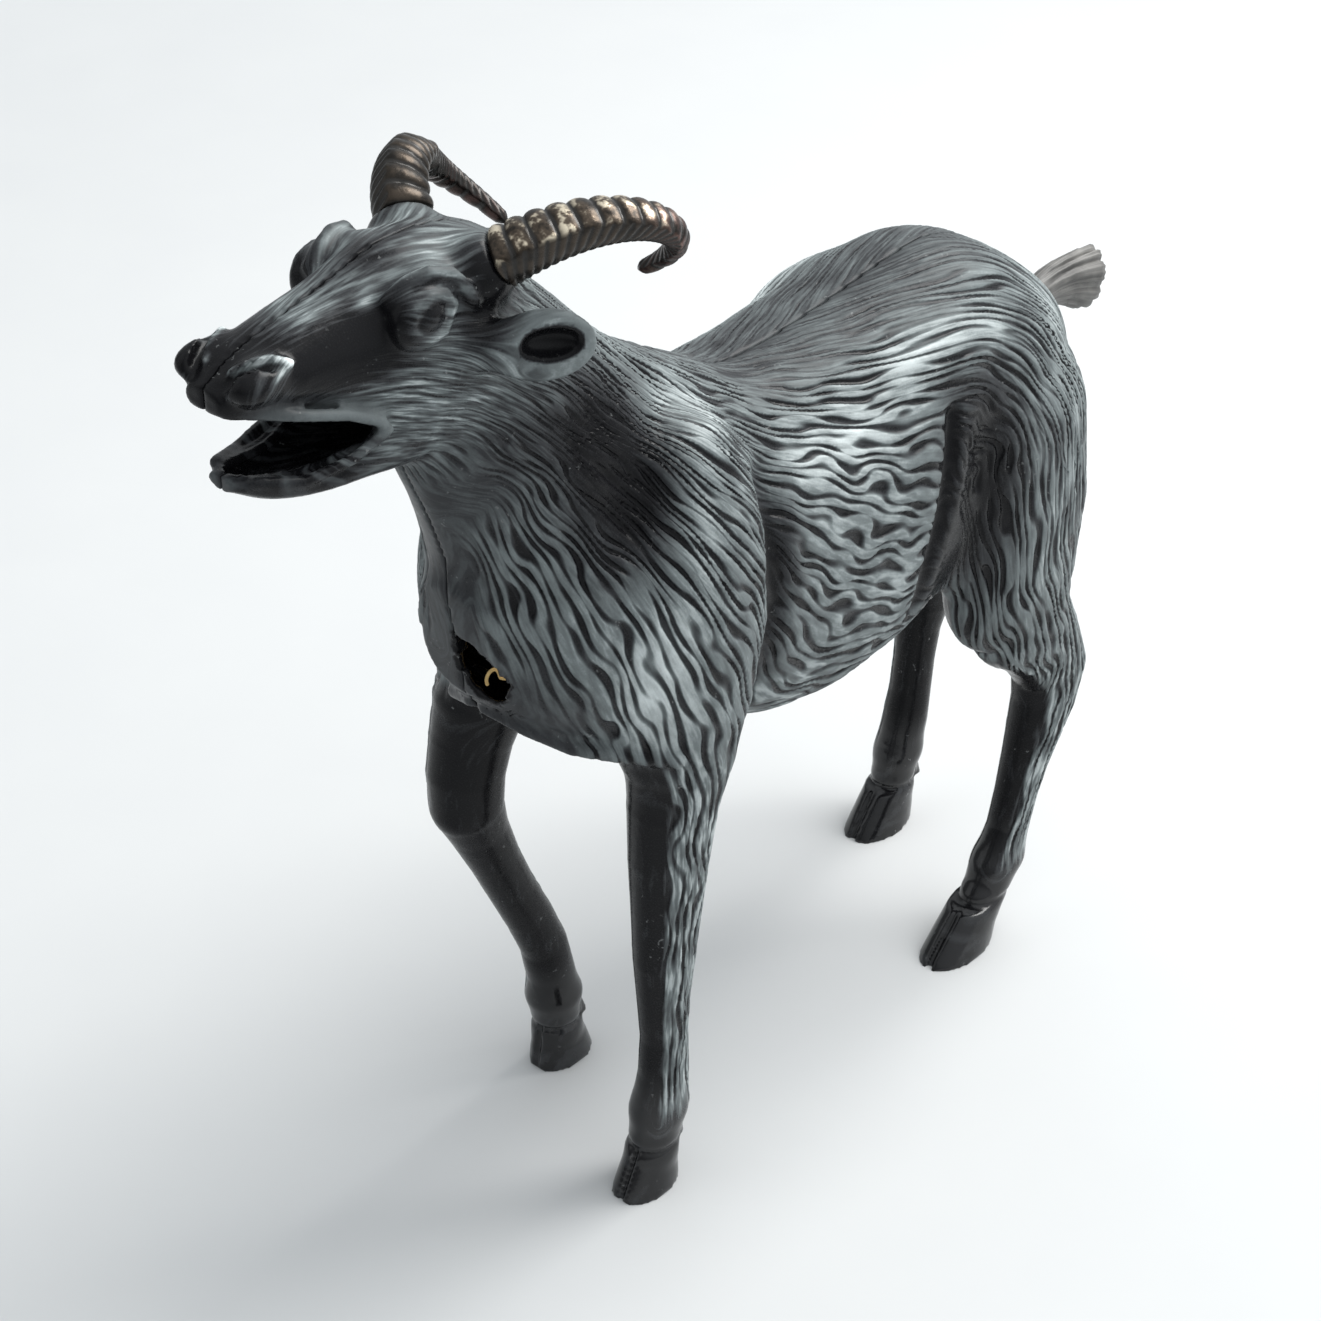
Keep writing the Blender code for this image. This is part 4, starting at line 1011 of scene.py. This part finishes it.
def give(mesh, name, values):
    """Stores values on the vertices under a name that materials read."""
    values = np.ascontiguousarray(values, np.float32)
    kind = "FLOAT" if values.ndim == 1 else "FLOAT_VECTOR"
    attribute = mesh.attributes.new(name, kind, "POINT")
    attribute.data.foreach_set("value" if values.ndim == 1 else "vector", values.ravel())


def map_surface(obj, side):
    """Fur coordinates, fur depth and paint, with its painted highlights and painted shade, on every
    vertex of a shell.
    """
    mesh = obj.data
    points, normals = vertex_points(mesh)
    points[:, 0] = np.abs(points[:, 0])
    normals = normals * (side, 1, 1)
    ends = np.empty(len(mesh.edges) * 2, np.int32)
    mesh.edges.foreach_get("vertices", ends)
    edges = ends.reshape(-1, 2).T
    along = flow(points, normals)
    across = np.cross(normals, along)
    relief = relief_map(points, normals) * outer_part(points)
    rounds = 160
    strand = np.zeros((len(points), 3))
    strand[:, 0] = coordinate(points, edges, across, relief, rounds)
    strand[:, 1] = coordinate(points, edges, along, relief, rounds)
    strand[:, 2] = fine_map(points, normals)
    give(mesh, "strand", strand)
    give(mesh, "streak", streak_map(points))
    give(mesh, "relief", relief * ramp(points[:, 0], 0.3, 1.6))
    # The stored paint values hold the painted highlights and painted shade too.
    give(mesh, "paint", paint_and_light_map(points, normals, side) * outer_part(points))


# ---- nodes


class Value:
    """A node's output, for use in plain arithmetic."""

    def __init__(self, graph, socket):
        self.graph = graph
        self.socket = socket

    def __add__(self, other):
        return self.graph.math("ADD", self, other)

    def __sub__(self, other):
        return self.graph.math("SUBTRACT", self, other)

    def __mul__(self, other):
        return self.graph.math("MULTIPLY", self, other)

    def __truediv__(self, other):
        return self.graph.math("DIVIDE", self, other)


class Graph:
    """Short ways to add nodes to a shader tree or a geometry tree."""

    def __init__(self, tree):
        self.tree = tree
        self.shading = tree.bl_idname == "ShaderNodeTree"

    def feed(self, socket, value):
        """A link where the value is another node's output, otherwise a plain value."""
        if isinstance(value, Value):
            self.tree.links.new(value.socket, socket)
        else:
            socket.default_value = value

    def fill(self, made, **named):
        """Feeds a node's inputs by name, with _ for a space."""
        for name, value in named.items():
            self.feed(made.inputs[name.replace("_", " ")], value)

    def node(self, kind, *inputs, out=0, settings=(), **named):
        """One output of a new node, its inputs fed by place or by name."""
        made = self.tree.nodes.new(kind)
        for name, value in dict(settings).items():
            setattr(made, name, value)
        for socket, value in zip(made.inputs, inputs):
            self.feed(socket, value)
        self.fill(made, **named)
        return Value(self, made.outputs[out])

    def math(self, operation, first, second=0.0):
        return self.node("ShaderNodeMath", first, second, settings={"operation": operation})

    def vector(self, operation, *inputs, out=0, **named):
        settings = {"operation": operation}
        return self.node("ShaderNodeVectorMath", *inputs, out=out, settings=settings, **named)

    def steps(self, value, low, high, least=0.0, most=1.0):
        """Smooth step from low to high."""
        settings = {"interpolation_type": "SMOOTHSTEP"}
        return self.node("ShaderNodeMapRange", value, low, high, least, most, settings=settings)

    def noise(self, vector, scale=1.0, detail=0.0, roughness=0.5):
        return self.node(
            "ShaderNodeTexNoise", Vector=vector, Scale=scale, Detail=detail, Roughness=roughness
        )

    def place(self):
        """The point in the object's own coordinates, in metres."""
        return self.node("ShaderNodeTexCoord", out="Object")

    def part(self, vector, axis):
        return self.node("ShaderNodeSeparateXYZ", vector, out=axis)

    def bump(self, height, distance, strength):
        """The normal of a surface with fine relief."""
        return self.node("ShaderNodeBump", Height=height, Distance=distance * MM, Strength=strength)

    def camera_ray(self):
        """1 where the camera looks straight at the surface, 0 for light that it sends on."""
        return self.node("ShaderNodeLightPath", out="Is Camera Ray")

    def stored(self, name, kind="FLOAT"):
        """A value kept on the mesh's vertices."""
        if self.shading:
            out = "Vector" if kind == "FLOAT_VECTOR" else "Fac"
            return self.node("ShaderNodeAttribute", out=out, settings={"attribute_name": name})
        made = self.tree.nodes.new("GeometryNodeInputNamedAttribute")
        made.data_type = kind
        self.fill(made, Name=name)
        return Value(self, next(out for out in made.outputs if out.enabled))

    def mix(self, share, first, second):
        """Two colours mixed."""
        made = self.tree.nodes.new("ShaderNodeMix")
        made.data_type = "RGBA"
        for place, value in ((0, share), (6, first), (7, second)):
            self.feed(made.inputs[place], value)
        return Value(self, made.outputs[2])


def ridges(graph, strand, spacing):
    """Combed locks that wander, merge and branch: 1 on top of a lock, 0 in the valley beside it."""
    def scaled(across, along, shift):
        moved = graph.vector("MULTIPLY", strand, (across, along, 0.0))
        return graph.noise(graph.vector("ADD", moved, (shift, 0.0, 0.0)))

    drift = scaled(0.13, 0.10, 3.1) * DRIFT
    knit = scaled(0.55 / spacing, 0.6 / LOCK_LENGTH, 7.7) * KNIT
    wave = graph.math("COSINE", (graph.part(strand, 0) / spacing + drift + knit) * (2 * math.pi))
    gate = scaled(0.85 / spacing, 0.85 / LOCK_LENGTH, 12.4)
    return graph.steps(wave + (gate - 0.43) * BRANCHING, -1.0, 0.45)


def strand_height(graph):
    """Height of the moulded fur from 0 to 1, from the fur coordinates in millimetres."""
    strand = graph.stored("strand", "FLOAT_VECTOR")
    coarse = ridges(graph, strand, LOCK_SPACING)
    thin = ridges(graph, strand, FINE_SPACING)
    lock = coarse + (thin - coarse) * graph.part(strand, 2)
    hair = graph.noise(graph.vector("MULTIPLY", strand, (2.4, 0.35, 0.0)), detail=1.0)
    return lock * (1 - HAIR_SHARE) + hair * HAIR_SHARE


def press_fur(obj):
    """Moulds the fur into a shell's surface."""
    tree = bpy.data.node_groups.new("moulded fur", "GeometryNodeTree")
    for way in ("INPUT", "OUTPUT"):
        tree.interface.new_socket("Geometry", in_out=way, socket_type="NodeSocketGeometry")
    graph = Graph(tree)
    height = (strand_height(graph) - FUR_BASE) * (graph.stored("relief") * (RELIEF * MM))
    lift = graph.vector("SCALE", graph.node("GeometryNodeInputNormal"), Scale=height)
    shape = graph.node("NodeGroupInput")
    moved = graph.node("GeometryNodeSetPosition", Geometry=shape, Offset=lift)
    graph.feed(tree.nodes.new("NodeGroupOutput").inputs[0], moved)
    obj.modifiers.new("Moulded fur", "NODES").node_group = tree
    apply_modifiers(obj)
    obj.data.shade_smooth()


def make_material(name):
    """A new material, its graph and its shader node."""
    material = bpy.data.materials.new(name)
    material.use_nodes = True
    return material, Graph(material.node_tree), material.node_tree.nodes["Principled BSDF"]


def shell_material():
    """Black plastic with grey paint on the tops of the fur, thin in places where it has come off, and the
    painted highlights and painted shade held in the stored paint values.
    """
    material, graph, shader = make_material("black plastic with grey paint and painted light")
    place = graph.place()
    height = strand_height(graph)
    relief = graph.stored("relief")
    cloud = graph.noise(place, 110.0, 4.0, 0.6)
    strokes = graph.vector("MULTIPLY", graph.stored("strand", "FLOAT_VECTOR"), (1.2, 0.14, 0.0))
    stroke = graph.steps(graph.noise(strokes, 1.0, 2.0, 0.6), 0.3, 0.7)
    grain = graph.noise(place, 3200.0, 1.0)
    # The load holds the grey paint and the painted highlights and painted shade stored with it.
    paint_and_light_load = graph.stored("paint") + (cloud - 0.5) * 0.4 + (stroke - 0.5) * graph.stored("streak")
    paint_and_light_load = paint_and_light_load + (height - 0.6) * 1.05 * relief + (grain - 0.5) * 0.12
    speck = graph.steps(graph.noise(place, 900.0, 2.0, 0.7), 0.64, 0.72)
    patch = graph.steps(graph.noise(place, 140.0, 2.0), 0.52, 0.64)
    colour = graph.mix(speck * patch * 0.4, paint_colour(graph, paint_and_light_load), SCUFF)
    up = graph.part(place, 2)
    rough = graph.steps(paint_and_light_load, 0.0, 0.8, 0.26, 0.5) + (grain - 0.5) * 0.2
    rough = rough * graph.steps(up, *GLOSS_FADE, 0.7, 1.0)
    gloss = graph.steps(up, *GLOSS_FADE, 0.5, 0.14)
    raised = height * (relief * (RELIEF * 0.6)) + grain * 0.012
    raised = raised + graph.noise(place, 420.0, 2.0) * 0.03
    normal = graph.bump(raised, 1.0, 0.6)
    graph.fill(shader, Base_Color=colour, Roughness=rough, Specular_IOR_Level=gloss, Normal=normal)
    return material


def paint_colour(graph, paint_and_light_load):
    """The colour of a coat of paint, by how much of it there is, the painted highlights and painted shade
    counted in.
    """
    most = PAINT_STEPS[-1][0]
    coat = graph.node("ShaderNodeValToRGB", paint_and_light_load / most)
    stops = coat.socket.node.color_ramp.elements
    for index, (amount, colour) in enumerate(PAINT_STEPS):
        stop = stops[index] if index < 2 else stops.new(amount / most)
        stop.position = amount / most
        stop.color = colour
    return coat


# ---- pieces


def make_shell(name, side, horn, material):
    """One half of the body with its fur pressed in and painted."""
    def field(points):
        return shell_field((side * points[0], *points[1:]), side, horn)

    grid = sampled(field, GRID_LOW, GRID_HIGH, SKIN_STEP)
    verts, quads = surface_nets(grid, GRID_LOW, SKIN_STEP)
    verts[:, 0] *= side
    obj = fast_mesh(name, verts, quads[:, ::-side])
    thin_inside(obj)
    map_surface(obj, side)
    press_fur(obj)
    obj.data.materials.clear()
    obj.data.materials.append(material)
    return obj


def frames(path):
    """A point, a side vector and an up vector for each point of a path, turning as little as they can."""
    path = np.asarray(path, float)
    ahead = np.gradient(path, axis=0)
    ahead /= np.linalg.norm(ahead, axis=1, keepdims=True)
    side = np.zeros_like(path)
    guess = np.array((1.0, 0.0, 0.0)) if abs(ahead[0, 0]) < 0.9 else np.array((0.0, 0.0, 1.0))
    for i, forward in enumerate(ahead):
        guess = unit(guess - forward * (guess @ forward))
        side[i] = guess
    return path, side, np.cross(ahead, side)


def ring_grid(count, around):
    """The share of the way along and the angle round of each point of a tube."""
    share = np.linspace(0, 1, count)[:, None]
    return share, np.linspace(0, 2 * math.pi, around, endpoint=False)[None, :]


def skin(name, path, wide, tall, around):
    """A closed tube with radii across and up, each a number or a value for every ring and angle."""
    path, side, up = frames(path)
    count = len(path)
    share, angle = ring_grid(count, around)
    wide, tall = (np.broadcast_to(radius, (count, around)) for radius in (wide, tall))
    verts = (
        path[:, None]
        + side[:, None] * (wide * np.cos(angle))[:, :, None]
        + up[:, None] * (tall * np.sin(angle))[:, :, None]
    ).reshape(-1, 3)
    ring = np.arange(around)
    after = (ring + 1) % around
    start = np.arange(count - 1)[:, None] * around
    quads = np.stack([start + ring, start + after, start + after + around, start + ring + around], -1)
    faces = quads.reshape(-1, 4).tolist()
    faces.append(list(range(around))[::-1])
    faces.append(list(range((count - 1) * around, count * around)))
    mesh = bpy.data.meshes.new(name)
    mesh.from_pydata(metres(verts).tolist(), [], faces)
    mesh.update()
    mesh.shade_smooth()
    obj = new_object(name, mesh)
    give(mesh, "along", np.repeat(share, around))
    give(mesh, "turn", np.tile(angle[0], count))
    return obj


def horn_path(control):
    """The horn's centre line with its peg and a rounded tip."""
    path = [np.array(p) for p in bezier(control, HORN_RINGS)]
    down = unit(path[0] - path[1])
    peg = [path[0] + down * away for away in (HORN_PEG_LENGTH, 0.05)]
    return peg + path


def horn_angles(path, edge):
    """At each point of the path, the angle round it that faces the keel's direction."""
    _, side, up = frames(path)
    return np.unwrap(np.arctan2(up @ edge, side @ edge))[:, None]


def make_horn(name, control, edge, turn, material):
    """A horn with bold ribs on its banded face, slanted fine ribs below the keel and a rounded tip.

    turn is 1 where the banded face lies anticlockwise of the keel, otherwise -1.
    """
    path = horn_path(control)
    keel = horn_angles(path, edge)
    share, angle = ring_grid(len(path), HORN_AROUND)
    step = np.maximum(share * (len(path) - 1) - 2, 0) / (HORN_RINGS - 1)
    past = (turn * (angle - keel) + math.pi) % (2 * math.pi) - math.pi
    banded = ramp(past, -0.12, 0.05) * ramp(-past, -UPPER_FACE - 0.35, -UPPER_FACE)
    spacing = HORN_RIBS * step ** 0.92
    bold = np.abs(np.sin(math.pi * (spacing + 0.10 * past))) ** 0.55
    slant = np.abs(np.sin(math.pi * (spacing * 2 + 1.1 * np.abs(past)))) ** 0.8
    crest = banded * bold + (1 - banded) * slant
    size = HORN_BASE_R + (HORN_TIP_R - HORN_BASE_R) * step ** 1.1
    shape = 0.97 - banded * 0.17 * (1 - bold) - (1 - banded) * 0.08 * (1 - slant)
    corner = np.exp(-(past / 0.28) ** 2) + 0.8 * np.exp(-((past - UPPER_FACE) / 0.35) ** 2)
    size = size * (shape + 0.11 * corner - 0.05 * np.exp(-((past - UPPER_FACE / 2) / 0.5) ** 2))
    size = size * np.sqrt(np.clip((1.0 - step) / 0.02, 0.04, 1.0))
    in_peg = share * (len(path) - 1) < 1.5
    wide, tall = (np.where(in_peg, HORN_PEG_R, size * flat) for flat in (1.0, 0.92))
    obj = skin(name, path, wide, tall, HORN_AROUND)
    give(obj.data, "crest", crest.ravel())
    give(obj.data, "band", banded.ravel())
    obj.data.materials.append(material)
    return obj


def horn_material(name, painted_light):
    """Dark bronze, lighter bronze on the ribs of the banded face and along the keel, with painted
    highlights on those ribs that are palest near the base; painted_light sets how strong the highlights
    are.
    """
    material, graph, shader = make_material(name)
    place = graph.place()
    along, crest, band = (graph.stored(kept) for kept in ("along", "crest", "band"))
    patch = graph.noise(place, 330.0, 3.0, 0.65)
    fine = graph.noise(place, 1700.0, 2.0, 0.6)
    tops = graph.steps(crest, 0.35, 0.95)
    metal = graph.mix(graph.steps(along, 0.35, 0.7), BRONZE, COPPER)
    share = tops * graph.steps(band, 0.0, 1.0, 0.35, 1.0)
    # Bronze on the rib tops; on the left horn more of it, as painted highlight.
    bronze_and_highlight = graph.steps(patch, 0.3, 0.6, 0.0, 0.35 + 0.65 * painted_light)
    colour = graph.mix(share * bronze_and_highlight, HORN_DARK, metal)
    # Painted highlight: pale gold on the rib tops of the banded face, strongest near the horn's base.
    painted_highlight = tops * band * graph.steps(patch, 0.5, 0.62)
    painted_highlight = painted_highlight * graph.steps(along, 0.3, 0.65, painted_light, painted_light * 0.15)
    graph.fill(
        shader,
        Base_Color=graph.mix(painted_highlight, colour, BRONZE_PAINTED_HIGHLIGHT),
        Metallic=graph.steps(share, 0.0, 0.6, 0.35, 0.9),
        Roughness=fine * 0.3 + 0.16,
        Normal=graph.bump(fine, 0.06, 0.5),
    )
    return material


def make_tail(material):
    """A neck that slides in the rump and a grooved fan behind it."""
    w, h = TAIL_NECK
    knots = (118.0, 126.0, 133.5, 137.0, 141.0, 145.0, 148.5, 151.2, 152.6, 153.2)
    drop = (0.0, 0.0, 0.0, 0.0, -0.3, -1.1, -2.3, -3.4, -3.9, -4.1)
    wide = (w, w, w, w, 3.0, 3.4, 3.8, 4.0, 3.7, 2.9)
    tall = (h, h, h, h, 3.8, 4.5, 5.3, 5.9, 5.6, 4.6)
    rings = 130
    at = np.linspace(knots[0], knots[-1], rings)
    path = [pull_point(s, up=np.interp(s, knots, drop)) for s in at]

    share, angle = ring_grid(rings, TAIL_AROUND)
    fan = ramp(share, 0.5, 0.75)
    groove = 1 - fan * 0.16 * (0.5 + 0.5 * np.cos(9 * angle + 1.4 * np.sin(3 * angle + 4 * share))) ** 2
    groove = groove * (1 - fan * 0.03 * np.cos(29 * angle))
    spot = knots[0] + share * (knots[-1] - knots[0])
    wide, tall = (groove * np.interp(spot, knots, sizes) for sizes in (wide, tall))
    obj = skin("tail_fan", path, wide, tall, TAIL_AROUND)
    obj.data.materials.append(material)
    return obj


def tail_material():
    """Brownish grey plastic, darker in lengthwise streaks and clouds."""
    material, graph, shader = make_material("tail plastic")
    cloud = graph.noise(graph.place(), 200.0, 3.0)
    strip = graph.node("ShaderNodeCombineXYZ", graph.stored("turn") * 7.0, graph.stored("along"))
    streak = graph.noise(strip, 1.0, 2.0)
    share = graph.steps(cloud * 0.5 + streak * 0.5, 0.35, 0.65)
    graph.fill(
        shader,
        Base_Color=graph.mix(share, TAIL_DARK, TAIL_PAINT),
        Roughness=cloud * 0.2 + 0.42,
        Normal=graph.bump(streak, 0.2, 0.4),
    )
    return material


def smooth_path(points, rounds):
    """A polyline cut to twice the points each round, with rounded corners."""
    points = np.asarray(points, float)
    for _ in range(rounds):
        middle = (points[:-1] + points[1:]) / 2
        near = points.copy()
        near[1:-1] = points[1:-1] * 0.5 + (points[:-2] + points[2:]) * 0.25
        merged = np.empty((len(points) + len(middle), 3))
        merged[0::2] = near
        merged[1::2] = middle
        points = merged
    return points


def wire(name, path, radius, material, around=20):
    """A round wire along a path."""
    obj = skin(name, path, radius, radius, around)
    obj.data.materials.append(material)
    return obj


def spring_path():
    """The coil with a hook at each end."""
    per_turn = 32
    count = SPRING_TURNS * per_turn
    coil = []
    for i in range(count + 1):
        a = 2 * math.pi * i / per_turn
        along = COIL_START + (COIL_END - COIL_START) * i / count
        coil.append(pull_point(along, SPRING_R * math.sin(a), -SPRING_R * math.cos(a)))
    front = [pull_point(along, 0.0, up) for along, up in FRONT_HOOK]
    rear = [pull_point(along, x, up) for along, x, up in REAR_HOOK]
    front = smooth_path(front + coil[:1], 2)[:-1]
    rear = smooth_path(coil[-1:] + rear, 2)[1:]
    return np.concatenate([front, coil, rear])


def rod_path():
    """The rod with its open eye."""
    path = []
    for degrees in range(40, 301, 13):
        a = math.radians(degrees)
        path.append(pull_point(EYE_AT + EYE_R * math.cos(a), 0.0, -EYE_R * math.sin(a)))
    path.append(pull_point(ROD_START - 1.2, 0.0, 0.6))
    path.append(pull_point(ROD_START, 0.0, 0.0))
    path.extend(pull_point(at) for at in np.linspace(ROD_START + 2, ROD_END, 30))
    return smooth_path(path, 1)


def metal_material(name, colour, dull, base_rough, painted_light=0.0):
    """Drawn wire with faint lengthwise scratches and dull spots, giving off a faint light of its own
    colour as painted light for light bounced onto it.
    """
    material, graph, shader = make_material(name)
    round_it, along = graph.stored("turn") * 3.0, graph.stored("along") * 40.0
    scratch = graph.noise(graph.node("ShaderNodeCombineXYZ", round_it, along), 1.0, 2.0)
    graph.fill(
        shader,
        Base_Color=graph.mix(graph.steps(scratch, 0.4, 0.7), colour, dull),
        Metallic=0.6,
        Roughness=scratch * 0.25 + base_rough,
        # Painted light: an emission of the wire's own colour.
        Emission_Color=colour,
        Emission_Strength=painted_light,
    )
    return material


# ---- stage


def make_floor():
    """A wide pale floor."""
    mesh = bpy.data.meshes.new("floor")
    corners = ((-1, -1), (1, -1), (1, 1), (-1, 1))
    mesh.from_pydata([(x * FLOOR_REACH, y * FLOOR_REACH, 0) for x, y in corners], [], [(0, 1, 2, 3)])
    material, graph, shader = make_material("pale paper")
    place = graph.place()
    far = graph.steps(graph.vector("LENGTH", place, out="Value"), 0.3, 1.3, 0.0, FLOOR_GLOW)
    graph.fill(
        shader,
        Base_Color=graph.mix(graph.noise(place, 30.0, 3.0), FLOOR, FLOOR_LIGHT),
        Roughness=0.9,
        Specular_IOR_Level=0.1,
        Emission_Color=(0.95, 0.98, 1.0, 1.0),
        Emission_Strength=far * graph.camera_ray(),
    )
    mesh.materials.append(material)
    new_object("floor", mesh)


def make_world():
    """Pale light from all round, stronger from above and behind the goat, and a white backdrop."""
    world = bpy.data.worlds.new("studio")
    bpy.context.scene.world = world
    world.use_nodes = True
    graph = Graph(world.node_tree)
    way = graph.node("ShaderNodeTexCoord", out="Generated")
    facing = graph.vector("DOT_PRODUCT", way, LIGHT_FROM, out="Value")
    light = graph.steps(facing, -0.5, 0.9, *WORLD_LIGHT)
    strength = graph.math("MAXIMUM", light, graph.camera_ray())
    back = world.node_tree.nodes["Background"]
    graph.fill(back, Color=(0.93, 0.97, 1.0, 1.0), Strength=strength)


def stand(name, data, spot, way):
    """A lamp or a camera at a spot in metres, pointing along a direction."""
    obj = new_object(name, data)
    obj.location = spot
    obj.rotation_mode = "QUATERNION"
    obj.rotation_quaternion = way.to_track_quat("-Z", "Y")
    return obj


def make_light(name, place, size, power, colour):
    """A soft square lamp that points at the goat's trunk."""
    data = bpy.data.lights.new(name, "AREA")
    data.shape = "SQUARE"
    data.size = size * MM
    data.energy = power
    data.color = colour
    spot = Vector(metres(place))
    stand(name, data, spot, Vector(metres(LIGHT_AIM)) - spot)


def make_camera():
    """A long lens in front of the goat's left shoulder, looking down on it."""
    data = bpy.data.cameras.new("camera")
    data.sensor_width = 36.0
    data.lens = data.sensor_width / (2 * math.tan(math.radians(VIEW_ANGLE) / 2))
    data.clip_start, data.clip_end = 0.01, 20.0
    a, e = math.radians(VIEW_AZIMUTH), math.radians(VIEW_ELEVATION)
    back = Vector((math.sin(a) * math.cos(e), -math.cos(a) * math.cos(e), math.sin(e)))
    spot = Vector(metres(VIEW_TARGET)) + back * VIEW_DISTANCE * MM
    bpy.context.scene.camera = stand("camera", data, spot, -back)


def settle(piece, body, replaced):
    """Ties a rigid piece to its body and hides the plain solid that it replaces."""
    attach(piece, body)
    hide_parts(replaced)


def make_pieces():
    """The seven pieces of the goat."""
    skin_material = shell_material()
    for name, side, horn in (("left", 1, LEFT_HORN), ("right", -1, RIGHT_HORN)):
        shell = make_shell(name + "_shell_skin", side, horn, skin_material)
        settle(shell, "body", name + "_body_shell")
    # The last number is painted light: strong painted highlights on the left horn, none on the right.
    horns = (("left", LEFT_HORN, LEFT_KEEL, -1, 0.9), ("right", RIGHT_HORN, RIGHT_KEEL, 1, 0.0))
    for name, horn, keel, turn, painted_light in horns:
        bronze = horn_material(name + " horn bronze", painted_light)
        piece = make_horn(name + "_horn_ribbed", horn, keel, turn, bronze)
        settle(piece, "body", name + "_horn")
    settle(make_tail(tail_material()), "tail", "tail")
    steel = metal_material("rod steel", STEEL, STEEL_DULL, 0.2)
    settle(wire("pull_rod_wire", rod_path(), ROD_R, steel), "tail", "pull_rod")
    # The spring's last 0.3 is an emission, painted light for light bounced into the chest opening.
    brass = metal_material("spring brass", BRASS, BRASS_DULL, 0.3, 0.3)
    spring = wire("spring_coil", spring_path(), WIRE_R, brass, 12)
    start, end = metres(pull_point(COIL_START)), metres(pull_point(COIL_END + 0.8))
    tuple(start)
    tuple(end)
    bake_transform(spring)
    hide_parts("return_spring")


def make_stage():
    """Floor, backdrop, lamps and camera."""
    make_floor()
    make_world()
    make_light("key", (120, 420, 620), 420, KEY_LIGHT, (1.0, 0.99, 0.97))
    make_light("fill", (-350, -420, 420), 500, FILL_LIGHT, (0.95, 0.98, 1.0))
    make_camera()
    bpy.context.scene.view_settings.view_transform = "Standard"


make_pieces()
make_stage()
